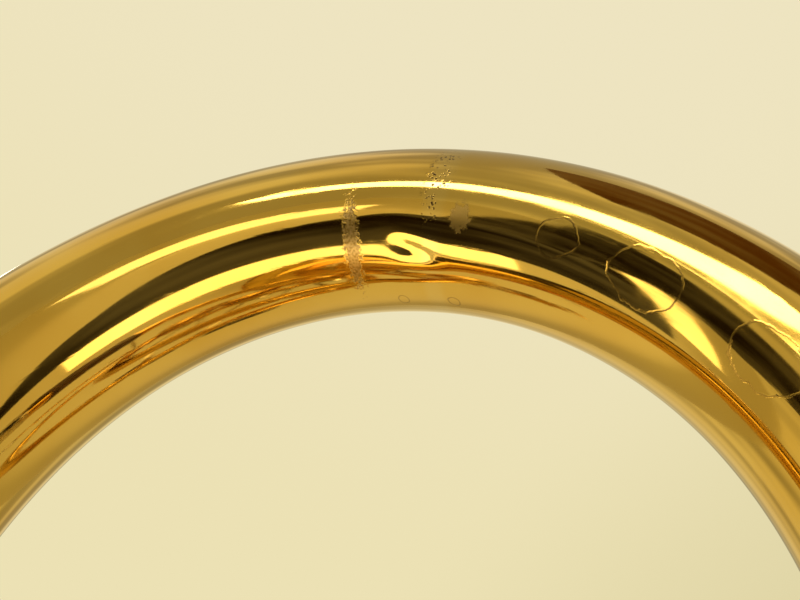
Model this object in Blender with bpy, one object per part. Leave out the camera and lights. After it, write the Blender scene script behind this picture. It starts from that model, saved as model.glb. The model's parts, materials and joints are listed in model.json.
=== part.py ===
"""A single french horn in F with three rotary valves, resting on the rim of its bell.

Metres, +Z up. The horn is laid out round the centre of the big bow above the bell, then
moved so that the middle of its base is the origin. The bell, the bow and the right leg lie
in the plane y = 0. The valves and the second branch lie in VALVE_Y, and the mouthpipe, the
tuning slide and the long loop lie in LOOP_Y. +Y is the side of the fingers.
"""

import math

import bmesh
import bpy
from mathutils import Vector

# Clearances
SEAT_GAP = 0.0003  # between pieces that are soldered or screwed together
SLIDE_GAP = 0.00015  # between a slide's leg and its outer tube, on the radius
BEARING_GAP = 0.00008  # round an axle or a spindle, on the radius

# Bell
RIM_RADIUS = 0.155
RIM_BEAD = 0.0022
BELL_HEIGHT = 0.430  # from the rim to the centre of the bow
BELL_SPREAD = 0.0343  # how far up the flare the throat opens
BELL_POWER = 0.7
FLARE_LENGTH = 0.200
BODY_WALL = 0.0006
BELL_SIDES = 28
BELL_RINGS = 8

# Bow and branches
BOW_RADIUS = 0.105
BOW_SMALL_END = 0.0177
BRANCH_MIDDLE = 0.0110
LOWER_BOW_DEPTH = 0.200  # of the lower bow's centre below the bow's
UPPER_BEND_DEPTH = 0.100  # of the upper bends' centre below the bow's
BOW_TAIL = 0.030
BIG_SIDES = 12
FERRULE_LENGTH = 0.026
FERRULE_WALL = 0.0009

# Bore tubing
TUBE_RADIUS = 0.0066
TUBE_WALL = 0.0006
TUBE_SIDES = 8
VALVE_Y = 0.058
LOOP_Y = 0.086
LOOP_RADIUS = BOW_RADIUS + 0.008
LOOP_DEPTH = 0.170

# Mouthpipe
MOUTHPIPE_RADIUS = LOOP_RADIUS + 0.023
MOUTHPIPE_ANGLE = 60.0  # of its straight end above the level, in degrees
MOUTHPIPE_STRAIGHT = 0.200
MOUTHPIPE_TIP = 0.0048
RECEIVER_LENGTH = 0.050
RECEIVER_WALL = 0.0022
RECEIVER_OVERLAP = 0.020
MOUTHPIECE_LENGTH = 0.066
MOUTHPIECE_SHANK = 0.0042
MOUTHPIECE_RIM = 0.0130
MOUTHPIECE_BORE = 0.0023
SHANK_INSIDE = 0.026

# Slides
SLIDE_WALL = 0.00055
SLIDE_OUTER_WALL = 0.00065
MAIN_SLIDE_BOTTOM = -0.118
MAIN_SLIDE_TOP = -0.045
MAIN_SLIDE_SHOWN = 0.006
MAIN_LEG_INSIDE = 0.055
VALVE_SLIDE_LENGTHS = (0.046, 0.020, 0.050)
VALVE_SLIDE_SHOWN = 0.005

# Valves
CASING_RADIUS = 0.018
VALVE_PITCH = 2 * CASING_RADIUS + 0.009
VALVE_DEPTH = 0.135
PORT_OFFSET = 0.011
PORT_REACH = 0.022
CASING_HALF = 0.013
CHAMBER_RADIUS = CASING_RADIUS - 0.0024
ROTOR_RADIUS = CHAMBER_RADIUS - 0.0004
ROTOR_HALF = 0.0100
FRONT_WALL = 0.0027
BOSS_RADIUS = 0.0080
BOSS_HEIGHT = 0.0045
SPINDLE_RADIUS = 0.0030
PASSAGE_OFFSET = 0.0083
PASSAGE_RADIUS = 0.0055
BEARING_THICK = 0.0024
CAP_WALL = 0.0012
CAP_SKIRT = 0.0045
VALVE_SIDES = 16

# Action
STOP_RADIUS = 0.00585  # from the rotor's axis to the pin
STOP_THICK = 0.0030
STOP_HUB = 0.0050
STOP_LUG = 0.0105
PIN_RADIUS = 0.0015
PIN_HEIGHT = 0.0044
LINK_THICK = 0.0016
LINK_WIDTH = 0.0050
PRESS_ANGLE = 16.0
CRANK_LENGTH = 0.0300
AXLE_RADIUS = 0.0020
AXLE_OVERHANG = 0.0120
HUB_RADIUS = 0.0048
HUB_HALF = 0.0050
ARM_WIDTH = 0.0050
ARM_THICK = 0.0024
ARM_REACH = 0.048
PADDLE_LENGTH = 0.030
PADDLE_WIDTH = 0.0180
PADDLE_PITCH = 0.0215
POST_RADIUS = 0.0024
POST_FOOT = 0.0050
SPRING_WIRE = 0.0005
SPRING_TURNS = 3
SPRING_PITCH = 0.0014

# Grip
GUARD_TOP = -0.060
GUARD_LENGTH = 0.088
GUARD_THICK = 0.0016
HOOK_RADIUS = 0.0125
HOOK_WIRE = 0.0022
BRACE_RADIUS = 0.0021
BRACE_FLANGE = 0.0050
BRACE_FLANGE_THICK = 0.0012

BELL_X = -BOW_RADIUS
VALVE_XS = [VALVE_PITCH * place for place in (-1, 0, 1)]
VALVE_Z = -VALVE_DEPTH
FRONT_Y = VALVE_Y + CASING_HALF
BACK_Y = VALVE_Y - CASING_HALF
PIN_OFFSET = STOP_RADIUS * math.sqrt(0.5)
STOP_Y = FRONT_Y + BOSS_HEIGHT + 2 * SEAT_GAP
LINK_Y = STOP_Y + STOP_THICK / 2 + PIN_HEIGHT + SEAT_GAP + LINK_THICK / 2
AXLE_Y = LINK_Y + CRANK_LENGTH
KNUCKLE_RADIUS = VALVE_PITCH / 2 - PORT_OFFSET
AXLE_Z = VALVE_Z + PORT_REACH + KNUCKLE_RADIUS
SLIDE_INNER = TUBE_RADIUS + 0.0006
SLIDE_LEG = SLIDE_INNER - SLIDE_OUTER_WALL - SLIDE_GAP
MAIN_SLIDE_XS = (-MOUTHPIPE_RADIUS, -LOOP_RADIUS)

FINISHES = {
    "lacquered_brass": ((0.60, 0.38, 0.09), 1.0, 0.08),
    "nickel_silver": ((0.62, 0.60, 0.54), 1.0, 0.18),
    "steel": ((0.50, 0.50, 0.50), 1.0, 0.25),
    "silver_plate": ((0.80, 0.79, 0.76), 1.0, 0.10),
    "leather": ((0.045, 0.022, 0.012), 0.0, 0.55),
}


def clear_scene():
    for obj in list(bpy.data.objects):
        bpy.data.objects.remove(obj, do_unlink=True)


def finish(name):
    """The material of one finish, made the first time it is asked for."""
    if name in bpy.data.materials:
        return bpy.data.materials[name]
    colour, metallic, roughness = FINISHES[name]
    made = bpy.data.materials.new(name)
    made.use_nodes = True
    shader = made.node_tree.nodes["Principled BSDF"]
    shader.inputs["Base Color"].default_value = (*colour, 1.0)
    shader.inputs["Metallic"].default_value = metallic
    shader.inputs["Roughness"].default_value = roughness
    return made


def add_piece(name, mesh, finish_name, origin=Vector()):
    """Places a mesh made in the horn's frame, with its own origin on the joint's axis."""
    mesh = mesh.copy()
    mesh.name = name
    for vertex in mesh.vertices:
        vertex.co -= origin
    mesh.materials.clear()
    mesh.materials.append(finish(finish_name))
    mesh.shade_smooth()
    mesh.set_sharp_from_angle(angle=math.radians(35))
    obj = bpy.data.objects.new(name, mesh)
    obj.location = origin
    obj.parent = bpy.data.objects["horn"]
    bpy.context.scene.collection.objects.link(obj)
    return obj


def mesh_of(work):
    """Closes a bmesh into a mesh, with its faces turned outwards."""
    bmesh.ops.recalc_face_normals(work, faces=work.faces)
    mesh = bpy.data.meshes.new("shape")
    work.to_mesh(mesh)
    work.free()
    return mesh


def bridge(work, first, second):
    """Joins two rings of points with faces. A ring of one point makes a fan."""
    sides = max(len(first), len(second))
    for step in range(sides):
        after = (step + 1) % sides
        corners = [first[step % len(first)], first[after % len(first)]]
        corners += [second[after % len(second)], second[step % len(second)]]
        work.faces.new(list(dict.fromkeys(corners)))


def ring_at(work, centre, across, side, radius, sides):
    if radius == 0:
        return [work.verts.new(centre)]
    ring = []
    for step in range(sides):
        angle = 2 * math.pi * (step + 0.5) / sides
        ring.append(work.verts.new(centre + radius * (across * math.cos(angle) + side * math.sin(angle))))
    return ring


def turned(profile, sides, centre=Vector(), direction=Vector((0, 0, 1))):
    """A turned solid from points (radius, height). It is a ring unless both ends are on the axis."""
    work = bmesh.new()
    turn = Vector((0, 0, 1)).rotation_difference(direction)
    across, side, along = (turn @ Vector(axis) for axis in ((1, 0, 0), (0, 1, 0), (0, 0, 1)))
    rings = [ring_at(work, centre + along * height, across, side, radius, sides)
             for radius, height in profile]
    for first, second in zip(rings, rings[1:]):
        bridge(work, first, second)
    if len(rings[0]) > 1:
        bridge(work, rings[-1], rings[0])
    return mesh_of(work)


def directions(points):
    """The unit direction of a route at each of its points."""
    steps = [(after - before).normalized() for before, after in zip(points, points[1:])]
    middles = [(before + after).normalized() for before, after in zip(steps, steps[1:])]
    return [steps[0], *middles, steps[-1]]


def swept_rings(work, points, radii, sides, level):
    rings = []
    for centre, direction, radius in zip(points, directions(points), radii):
        across = (level - direction * level.dot(direction)).normalized()
        rings.append(ring_at(work, centre, across, direction.cross(across), radius, sides))
    for first, second in zip(rings, rings[1:]):
        bridge(work, first, second)
    return rings


def pipe(points, radii, wall, sides, level=Vector((0, 1, 0))):
    """A hollow tube along a route, open at both ends. The radii are of its outside."""
    work = bmesh.new()
    outside = swept_rings(work, points, radii, sides, level)
    inside = swept_rings(work, points, [radius - wall for radius in radii], sides, level)
    bridge(work, outside[0], inside[0])
    bridge(work, outside[-1], inside[-1])
    return mesh_of(work)


def rod(points, radius, sides, level=Vector((0, 1, 0))):
    """A solid bar along a route."""
    work = bmesh.new()
    rings = swept_rings(work, points, [radius] * len(points), sides, level)
    work.faces.new(rings[0])
    work.faces.new(rings[-1])
    return mesh_of(work)


def plate(outline, low, high, axis):
    """An outline of (first, second) points, given a thickness along X or Y."""
    work = bmesh.new()
    rings = []
    for level in (low, high):
        if axis == "Y":
            corners = [Vector((first, level, second)) for first, second in outline]
        else:
            corners = [Vector((level, first, second)) for first, second in outline]
        rings.append([work.verts.new(corner) for corner in corners])
        work.faces.new(rings[-1])
    bridge(work, *rings)
    return mesh_of(work)


def joined(meshes):
    """Several meshes as one, for shapes that don't touch."""
    work = bmesh.new()
    for mesh in meshes:
        work.from_mesh(mesh)
    whole = bpy.data.meshes.new("shape")
    work.to_mesh(whole)
    work.free()
    return whole


def combined(base, *steps, solver="EXACT"):
    """The base after Boolean steps (operation, mesh), worked out and left as a plain mesh."""
    body = bpy.data.objects.new("body", base)
    bpy.context.scene.collection.objects.link(body)
    tools = []
    for operation, mesh in steps:
        tool = bpy.data.objects.new("tool", mesh)
        bpy.context.scene.collection.objects.link(tool)
        tools.append(tool)
        cut = body.modifiers.new(operation.lower(), "BOOLEAN")
        cut.operation = operation
        cut.solver = solver
        cut.object = tool
    graph = bpy.context.evaluated_depsgraph_get()
    result = bpy.data.meshes.new_from_object(body.evaluated_get(graph))
    for obj in (body, *tools):
        bpy.data.objects.remove(obj, do_unlink=True)
    return result


def arc(centre_x, centre_z, radius, start, end, steps, y_start, y_end=None):
    """Points on an arc in the XZ plane, angles in degrees, that may ease from one y to another."""
    y_end = y_start if y_end is None else y_end
    points = []
    for step in range(steps + 1):
        share = step / steps
        angle = math.radians(start + (end - start) * share)
        ease = share * share * (3 - 2 * share)
        points.append(Vector((centre_x + radius * math.cos(angle),
                              y_start + (y_end - y_start) * ease,
                              centre_z + radius * math.sin(angle))))
    return points


def taper(points, first, last):
    """Radii that change evenly along a route."""
    run = [0.0]
    for before, after in zip(points, points[1:]):
        run.append(run[-1] + (after - before).length)
    return [first + (last - first) * length / run[-1] for length in run]


def bell_radius(height):
    """The bell's outer radius at a height above its rim."""
    return RIM_RADIUS * (BELL_SPREAD / (height + BELL_SPREAD)) ** BELL_POWER


def around(radius, sides, gap=SEAT_GAP):
    """The corner radius of a many-sided hole whose flats clear a round piece."""
    return (radius + gap) / math.cos(math.pi / sides)


def make_bell():
    base = -BELL_HEIGHT
    heights = [FLARE_LENGTH * (ring / BELL_RINGS) ** 1.6 for ring in range(1, BELL_RINGS + 1)]
    outside = [(bell_radius(height), base + height) for height in heights]
    inside = [(radius - BODY_WALL, height) for radius, height in outside]
    edge = bell_radius(0)
    bead = [(edge - 3 * RIM_BEAD, base + RIM_BEAD), (edge - 2 * RIM_BEAD, base),
            (edge - RIM_BEAD / 2, base), (edge, base + RIM_BEAD / 2),
            (edge, base + 1.5 * RIM_BEAD), (edge - RIM_BEAD / 2, base + 2 * RIM_BEAD)]
    profile = [*inside[::-1], *bead, *outside]
    centre = Vector((BELL_X, 0, 0))
    add_piece("bell_flare", turned(profile, BELL_SIDES, centre), "lacquered_brass")
    add_ferrule("bell_ferrule", Vector((BELL_X, 0, base + FLARE_LENGTH)), "bell")


def add_ferrule(name, middle, place):
    """A sleeve over the joint of two tubes that both run straight up and down there."""
    points = [middle + Vector((0, 0, FERRULE_LENGTH * share)) for share in (-0.5, 0.5)]
    radii = []
    for point in points:
        radius = bell_radius(point.z + BELL_HEIGHT) if place == "bell" else place
        radii.append(around(radius, BIG_SIDES) + FERRULE_WALL)
    add_piece(name, pipe(points, radii, FERRULE_WALL, BIG_SIDES), "nickel_silver")


def make_bow():
    """The bell's tail and the big bow, in one piece as far as the first ferrule on the right."""
    start = -BELL_HEIGHT + FLARE_LENGTH + SEAT_GAP
    stem = [Vector((BELL_X, 0, start + (0 - start) * share)) for share in (0, 0.2, 0.4, 0.6, 0.8)]
    bend = arc(0, 0, BOW_RADIUS, 180, 0, 14, 0)
    tail = [Vector((BOW_RADIUS, 0, -BOW_TAIL))]
    stem_radii = [bell_radius(point.z + BELL_HEIGHT) for point in stem]
    bend_radii = taper(bend, bell_radius(BELL_HEIGHT), BOW_SMALL_END)
    shape = pipe(stem + bend + tail, [*stem_radii, *bend_radii, BOW_SMALL_END], BODY_WALL, BIG_SIDES)
    add_piece("bell_tail_bow", shape, "lacquered_brass")
    add_ferrule("bow_ferrule", Vector((BOW_RADIUS, 0, -BOW_TAIL)), BOW_SMALL_END)


def branch_route():
    """From the bow's small end down, round the bottom and behind the bell, to the left leg's middle."""
    top = [Vector((BOW_RADIUS, 0, -BOW_TAIL - SEAT_GAP))]
    lower = arc(0, -LOWER_BOW_DEPTH, BOW_RADIUS, 0, -135, 9, 0, VALVE_Y)
    lower += arc(0, -LOWER_BOW_DEPTH, BOW_RADIUS, -135, -180, 3, VALVE_Y)[1:]
    end = [Vector((-BOW_RADIUS, VALVE_Y, -(LOWER_BOW_DEPTH + UPPER_BEND_DEPTH) / 2))]
    return top + lower + end


def make_branches():
    first = branch_route()
    radii = taper(first, BOW_SMALL_END, BRANCH_MIDDLE)
    add_piece("first_branch", pipe(first, radii, BODY_WALL, BIG_SIDES), "lacquered_brass")
    add_ferrule("branch_ferrule", first[-1], BRANCH_MIDDLE)
    last_port = VALVE_XS[-1] + PORT_OFFSET
    bend_radius = (last_port + BOW_RADIUS) / 2
    start = first[-1] + Vector((0, 0, SEAT_GAP))
    bend = arc((last_port - BOW_RADIUS) / 2, -UPPER_BEND_DEPTH, bend_radius, 180, 0, 11, VALVE_Y)
    end = [Vector((last_port, VALVE_Y, VALVE_Z + PORT_REACH + SEAT_GAP))]
    second = [start, *bend, *end]
    radii = taper(second, BRANCH_MIDDLE, TUBE_RADIUS)
    add_piece("second_branch", pipe(second, radii, BODY_WALL, 8), "lacquered_brass")
    leg = first[0]
    guard = [Vector((leg.x, 0, GUARD_TOP - GUARD_LENGTH * share)) for share in (0, 0.5, 1)]
    slope = (BOW_SMALL_END - BRANCH_MIDDLE) / sum((b - a).length for a, b in zip(first, first[1:]))
    guard_radii = [BOW_SMALL_END - slope * (leg.z - point.z) + 2 * SEAT_GAP + GUARD_THICK for point in guard]
    add_piece("hand_guard", pipe(guard, guard_radii, GUARD_THICK, BIG_SIDES), "leather")


def make_mouthpipe():
    """The mouthpipe rises to the mouthpiece on the right, and runs round the bottom to the tuning slide."""
    up = Vector((math.cos(math.radians(MOUTHPIPE_ANGLE)), 0, math.sin(math.radians(MOUTHPIPE_ANGLE))))
    bend = arc(0, -LOOP_DEPTH, MOUTHPIPE_RADIUS, MOUTHPIPE_ANGLE - 90, -180, 10, LOOP_Y)
    tip = bend[0] + up * MOUTHPIPE_STRAIGHT
    end = Vector((-MOUTHPIPE_RADIUS, LOOP_Y, MAIN_SLIDE_BOTTOM - SEAT_GAP))
    route = [tip, *bend, end]
    radii = taper(route, MOUTHPIPE_TIP, TUBE_RADIUS)
    add_piece("mouthpipe", pipe(route, radii, TUBE_WALL, TUBE_SIDES), "lacquered_brass")
    bore = around(MOUTHPIPE_TIP, 12)
    outer = bore + RECEIVER_WALL
    step = RECEIVER_WALL / 2
    sleeve = [(bore, 0), (outer - step, 0), (outer - step, 0.3 * RECEIVER_LENGTH),
              (outer, 0.36 * RECEIVER_LENGTH), (outer, RECEIVER_LENGTH), (bore, RECEIVER_LENGTH)]
    start = tip - up * RECEIVER_OVERLAP
    add_piece("mouthpiece_receiver", turned(sleeve, 12, start, up), "nickel_silver")
    make_mouthpiece(start + up * (RECEIVER_LENGTH - SHANK_INSIDE), bore, up)


def make_mouthpiece(shank_end, bore, up):
    shank = bore * math.cos(math.pi / 12) - SLIDE_GAP
    length = MOUTHPIECE_LENGTH
    rim = MOUTHPIECE_RIM
    profile = [(MOUTHPIECE_BORE, 0), (MOUTHPIECE_SHANK, 0), (shank, SHANK_INSIDE),
               (shank + 0.0012, 0.55 * length), (0.62 * rim, 0.70 * length), (0.88 * rim, 0.90 * length),
               (rim, 0.96 * length), (rim - 0.0012, length), (rim - 0.0036, length),
               (0.63 * rim, 0.93 * length), (MOUTHPIECE_BORE, 0.60 * length)]
    add_piece("mouthpiece", turned(profile, 12, shank_end, up), "silver_plate", shank_end)


def u_route(left, right, level, y, start, down):
    """Two legs at x left and right that start at z start, and a half circle whose centre is at z level."""
    centre = (left + right) / 2
    radius = abs(right - left) / 2
    angles = (180, 360) if down else (180, 0)
    bend = arc(centre, level, radius, *angles, 6, y)
    return [Vector((left, y, start)), *bend, Vector((right, y, start))]


def make_main_slide():
    names = ("main_slide_outer_in", "main_slide_outer_out")
    for name, x in zip(names, MAIN_SLIDE_XS):
        ends = [Vector((x, LOOP_Y, MAIN_SLIDE_BOTTOM)), Vector((x, LOOP_Y, MAIN_SLIDE_TOP))]
        shape = pipe(ends, [SLIDE_INNER] * 2, SLIDE_OUTER_WALL, TUBE_SIDES)
        add_piece(name, shape, "nickel_silver")
    start = MAIN_SLIDE_TOP - MAIN_LEG_INSIDE
    route = u_route(*MAIN_SLIDE_XS, MAIN_SLIDE_TOP + MAIN_SLIDE_SHOWN, LOOP_Y, start, False)
    shape = pipe(route, [SLIDE_LEG] * len(route), SLIDE_WALL, TUBE_SIDES)
    add_piece("main_tuning_slide", shape, "lacquered_brass", route[0])


def make_long_loop():
    """From the tuning slide down the left, round the bottom, over the top and into the first valve."""
    port = VALVE_XS[0] - PORT_OFFSET
    start = Vector((-LOOP_RADIUS, LOOP_Y, MAIN_SLIDE_BOTTOM - SEAT_GAP))
    lower = arc(0, -LOOP_DEPTH, LOOP_RADIUS, 180, 360, 11, LOOP_Y)
    upper = arc((LOOP_RADIUS + port) / 2, -UPPER_BEND_DEPTH + 0.012, (LOOP_RADIUS - port) / 2, 0, 150, 8, LOOP_Y)
    last_bend = upper[-1]
    entry = Vector((port, VALVE_Y, VALVE_Z + PORT_REACH + SEAT_GAP))
    lead_in = entry + Vector((0, 0, 0.008))
    easing = []
    for step in range(1, 5):
        share = step / 5
        ease = share * share * (3 - 2 * share)
        bulge = (last_bend.x - port) * (1 - share) ** 2
        easing.append(Vector((port + bulge, LOOP_Y + (VALVE_Y - LOOP_Y) * ease,
                              last_bend.z + (lead_in.z - last_bend.z) * share)))
    route = [start, *lower, *upper, *easing, lead_in, entry]
    add_piece("long_loop", pipe(route, [TUBE_RADIUS] * len(route), TUBE_WALL, TUBE_SIDES), "lacquered_brass")


def port_cylinders(centre, radius, low, high, sides):
    """Four short cylinders on the two port lines, above and below a valve's axis."""
    shapes = []
    for side in (-1, 1):
        for way in (-1, 1):
            middle = centre + Vector((side * PORT_OFFSET, 0, 0))
            ends = [middle + Vector((0, 0, way * low)), middle + Vector((0, 0, way * high))]
            shapes.append(rod(ends, radius, sides))
    return joined(shapes)


def casing_mesh(centre):
    half = CASING_HALF
    spindle = around(SPINDLE_RADIUS, VALVE_SIDES, BEARING_GAP)
    outside = [(0, -half), (CASING_RADIUS, -half), (CASING_RADIUS, half), (BOSS_RADIUS, half),
               (BOSS_RADIUS, half + BOSS_HEIGHT), (0, half + BOSS_HEIGHT)]
    ahead = Vector((0, 1, 0))
    body = turned(outside, VALVE_SIDES, centre, ahead)
    chamber = [(0, -2 * half), (CHAMBER_RADIUS, -2 * half), (CHAMBER_RADIUS, half - FRONT_WALL),
               (spindle, half - FRONT_WALL), (spindle, 2 * half), (0, 2 * half)]
    ports = port_cylinders(centre, TUBE_RADIUS, 0.5 * CASING_RADIUS, PORT_REACH, TUBE_SIDES)
    bores = port_cylinders(centre, TUBE_RADIUS - TUBE_WALL, 0.45 * CASING_RADIUS, PORT_REACH + 0.001, TUBE_SIDES)
    return combined(body, ("UNION", ports), ("DIFFERENCE", turned(chamber, VALVE_SIDES, centre, ahead)),
                    ("DIFFERENCE", bores), solver="MANIFOLD")


def rotor_mesh(centre):
    tip = CASING_HALF + BOSS_HEIGHT + SEAT_GAP
    profile = [(0, -CASING_HALF + SEAT_GAP), (SPINDLE_RADIUS, -CASING_HALF + SEAT_GAP),
               (SPINDLE_RADIUS, -ROTOR_HALF), (ROTOR_RADIUS, -ROTOR_HALF), (ROTOR_RADIUS, ROTOR_HALF),
               (SPINDLE_RADIUS, ROTOR_HALF), (SPINDLE_RADIUS, tip), (0, tip)]
    body = turned(profile, VALVE_SIDES, centre, Vector((0, 1, 0)))
    passages = []
    for way in (-1, 1):
        middle = centre + Vector((0, 0, way * PASSAGE_OFFSET))
        ends = [middle + Vector((side * 1.2 * ROTOR_RADIUS, 0, 0)) for side in (-1, 1)]
        passages.append(rod(ends, PASSAGE_RADIUS, TUBE_SIDES))
    return combined(body, ("DIFFERENCE", joined(passages)))


def circle(centre, radius, start, end, steps):
    """Points (first, second) on an arc round a centre, angles in degrees."""
    points = []
    for step in range(steps + 1):
        angle = math.radians(start + (end - start) * step / steps)
        points.append((centre[0] + radius * math.cos(angle), centre[1] + radius * math.sin(angle)))
    return points


def stop_arm_mesh(centre):
    """The arm on the rotor's spindle, with a lug for the stops and a pin for the link."""
    middle = (centre.x, centre.z)
    lug_half = math.degrees(math.asin(0.0018 / STOP_HUB))
    hub = circle(middle, STOP_HUB + 0.0022, 225 + lug_half - 360, 225 - lug_half, 14)
    lug = circle(middle, STOP_LUG, 225 - lug_half / 2, 225 + lug_half / 2, 2)
    arm = plate(hub + lug, STOP_Y, STOP_Y + STOP_THICK, "Y")
    foot = Vector((centre.x + PIN_OFFSET, STOP_Y + STOP_THICK / 2, centre.z + PIN_OFFSET))
    pin = rod([foot, foot + Vector((0, PIN_HEIGHT, 0))], PIN_RADIUS, TUBE_SIDES, Vector((1, 0, 0)))
    return combined(arm, ("UNION", pin))


def stop_plate_mesh(centre):
    """A curved plate on the casing's face, with a stop at each end of the lug's travel."""
    middle = (centre.x, centre.z)
    reach, stop = 79, 64
    outer = circle(middle, 0.0168, 180 - reach, 180 + reach, 10)
    inner = circle(middle, 0.0124, 180 + stop, 180 - stop, 8)
    lower_stop = circle(middle, 0.0092, 180 + reach, 180 + stop, 2)
    upper_stop = circle(middle, 0.0092, 180 - stop, 180 - reach, 2)
    outline = outer + lower_stop + inner + upper_stop
    return plate(outline, FRONT_Y + SEAT_GAP, STOP_Y + STOP_THICK, "Y")


def cap_mesh(centre):
    inner = CASING_RADIUS + SEAT_GAP
    outer = inner + CAP_WALL
    floor = -CASING_HALF - SEAT_GAP
    profile = [(0, floor), (inner, floor), (inner, floor + CAP_SKIRT), (outer, floor + CAP_SKIRT),
               (outer, floor - 0.5 * CAP_WALL), (outer - CAP_WALL, floor - CAP_WALL),
               (0.35 * outer, floor - CAP_WALL), (0, floor - 1.8 * CAP_WALL)]
    return turned(profile, VALVE_SIDES, centre, Vector((0, 1, 0)))


def bearing_mesh(centre):
    outer = CHAMBER_RADIUS - SEAT_GAP
    inner = around(SPINDLE_RADIUS, VALVE_SIDES, BEARING_GAP)
    low, high = -CASING_HALF, -CASING_HALF + BEARING_THICK
    return turned([(inner, low), (inner, high), (outer, high), (outer, low)],
                  VALVE_SIDES, centre, Vector((0, 1, 0)))


def make_valves():
    ahead = Vector((0, 1, 0))
    for number, x in enumerate(VALVE_XS, 1):
        centre = Vector((x, VALVE_Y, VALVE_Z))
        add_piece(f"valve_{number}_casing", casing_mesh(centre), "lacquered_brass")
        add_piece(f"valve_{number}_rotor", rotor_mesh(centre), "nickel_silver", centre)
        add_piece(f"valve_{number}_bearing", bearing_mesh(centre), "nickel_silver")
        add_piece(f"valve_{number}_cap", cap_mesh(centre), "lacquered_brass")
        add_piece(f"valve_{number}_stop_arm", stop_arm_mesh(centre), "nickel_silver", centre)
        add_piece(f"valve_{number}_stop_plate", stop_plate_mesh(centre), "nickel_silver")
    for number, x in enumerate(VALVE_XS[:-1], 1):
        start = VALVE_Z + PORT_REACH + SEAT_GAP
        ends = (x + PORT_OFFSET, x + VALVE_PITCH - PORT_OFFSET)
        route = u_route(*ends, start + 0.001, VALVE_Y, start, False)
        shape = pipe(route, [TUBE_RADIUS] * len(route), TUBE_WALL, TUBE_SIDES)
        add_piece(f"knuckle_{number}", shape, "lacquered_brass")


def make_valve_slides():
    top = VALVE_Z - PORT_REACH - SEAT_GAP
    for number, (x, length) in enumerate(zip(VALVE_XS, VALVE_SLIDE_LENGTHS), 1):
        legs = (x - PORT_OFFSET, x + PORT_OFFSET)
        tubes = []
        for leg in legs:
            ends = [Vector((leg, VALVE_Y, top - length)), Vector((leg, VALVE_Y, top))]
            tubes.append(pipe(ends, [SLIDE_INNER] * 2, SLIDE_OUTER_WALL, TUBE_SIDES))
        flat = SLIDE_INNER * math.cos(math.pi / TUBE_SIDES)
        reach = PORT_OFFSET - flat + 0.5 * SLIDE_OUTER_WALL
        low = top - length + 0.006
        bar = plate([(x - reach, low), (x + reach, low), (x + reach, low + 0.003), (x - reach, low + 0.003)],
                    VALVE_Y - 0.0015, VALVE_Y + 0.0015, "Y")
        shape = combined(joined(tubes), ("UNION", bar))
        add_piece(f"valve_{number}_slide_outer", shape, "nickel_silver")
        start = top - 0.15 * length
        bottom = top - length - VALVE_SLIDE_SHOWN
        route = u_route(*legs, bottom, VALVE_Y, start, True)
        shape = pipe(route, [SLIDE_LEG] * len(route), SLIDE_WALL, TUBE_SIDES)
        add_piece(f"valve_{number}_slide", shape, "lacquered_brass", route[0])


def lever_mesh(hub_x, paddle_x):
    """The hub on the axle, the flat arm up to the paddle and the crank down to the link."""
    hub_centre = Vector((hub_x - HUB_HALF, AXLE_Y, AXLE_Z))
    bore = around(AXLE_RADIUS, 16, BEARING_GAP)
    hub = turned([(bore, 0), (HUB_RADIUS, 0), (HUB_RADIUS, 2 * HUB_HALF), (bore, 2 * HUB_HALF)],
                 16, hub_centre, Vector((1, 0, 0)))
    half = ARM_WIDTH / 2
    low_z = AXLE_Z - 0.002
    neck = AXLE_Z + ARM_REACH
    wide = PADDLE_WIDTH / 2
    top = neck + PADDLE_LENGTH
    paddle = [(paddle_x + half, neck), *circle((paddle_x + wide - 0.006, neck + 0.010), 0.006, -50, 0, 2),
              *circle((paddle_x + wide - 0.007, top - 0.007), 0.007, 0, 90, 3),
              *circle((paddle_x - wide + 0.007, top - 0.007), 0.007, 90, 180, 3),
              *circle((paddle_x - wide + 0.006, neck + 0.010), 0.006, 180, 230, 2),
              (paddle_x - half, neck)]
    bend = AXLE_Z + 0.010
    outline = [(hub_x - half, bend), (hub_x - half, low_z), (hub_x + half, low_z), (hub_x + half, bend), *paddle]
    arm_low = AXLE_Y + HUB_RADIUS - ARM_THICK + 0.0004
    arm = plate(outline, arm_low, arm_low + ARM_THICK, "Y")
    lift = math.radians(PRESS_ANGLE / 2)
    along = Vector((0, -math.cos(lift), math.sin(lift)))
    across = Vector((0, math.sin(lift), math.cos(lift))) * 0.0019
    pivot = Vector((0, AXLE_Y, AXLE_Z))
    near = pivot + along * (bore + 0.0008)
    far = pivot + along * (CRANK_LENGTH - LINK_THICK / 2 - SEAT_GAP)
    corners = [near - across, near + across, far + across, far - across]
    crank = plate([(corner.y, corner.z) for corner in corners], hub_x - 0.0019, hub_x + 0.0019, "X")
    return combined(hub, ("UNION", arm), ("UNION", crank))


def link_mesh(x):
    """A flat bar from the lever's crank down to the pin on the stop arm."""
    top = AXLE_Z + CRANK_LENGTH * math.sin(math.radians(PRESS_ANGLE / 2))
    bottom = VALVE_Z + PIN_OFFSET
    half = LINK_WIDTH / 2
    outline = circle((x, top), half, 0, 180, 6) + circle((x, bottom), half, 180, 360, 6)
    return plate(outline, LINK_Y - LINK_THICK / 2, LINK_Y + LINK_THICK / 2, "Y")


def spring_mesh(start_x, way):
    """A torsion spring round the axle, with a straight tail at each end."""
    radius = AXLE_RADIUS + 0.0012
    points = []
    steps = SPRING_TURNS * 8
    for step in range(steps + 1):
        angle = 2 * math.pi * step / 8
        x = start_x + way * SPRING_PITCH * step / 8
        points.append(Vector((x, AXLE_Y + radius * math.cos(angle), AXLE_Z + radius * math.sin(angle))))
    tail = Vector((0, 0, 0.007))
    points = [points[0] - tail, *points, points[-1] + tail]
    return rod(points, SPRING_WIRE, 4, Vector((1, 0, 0)))


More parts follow.
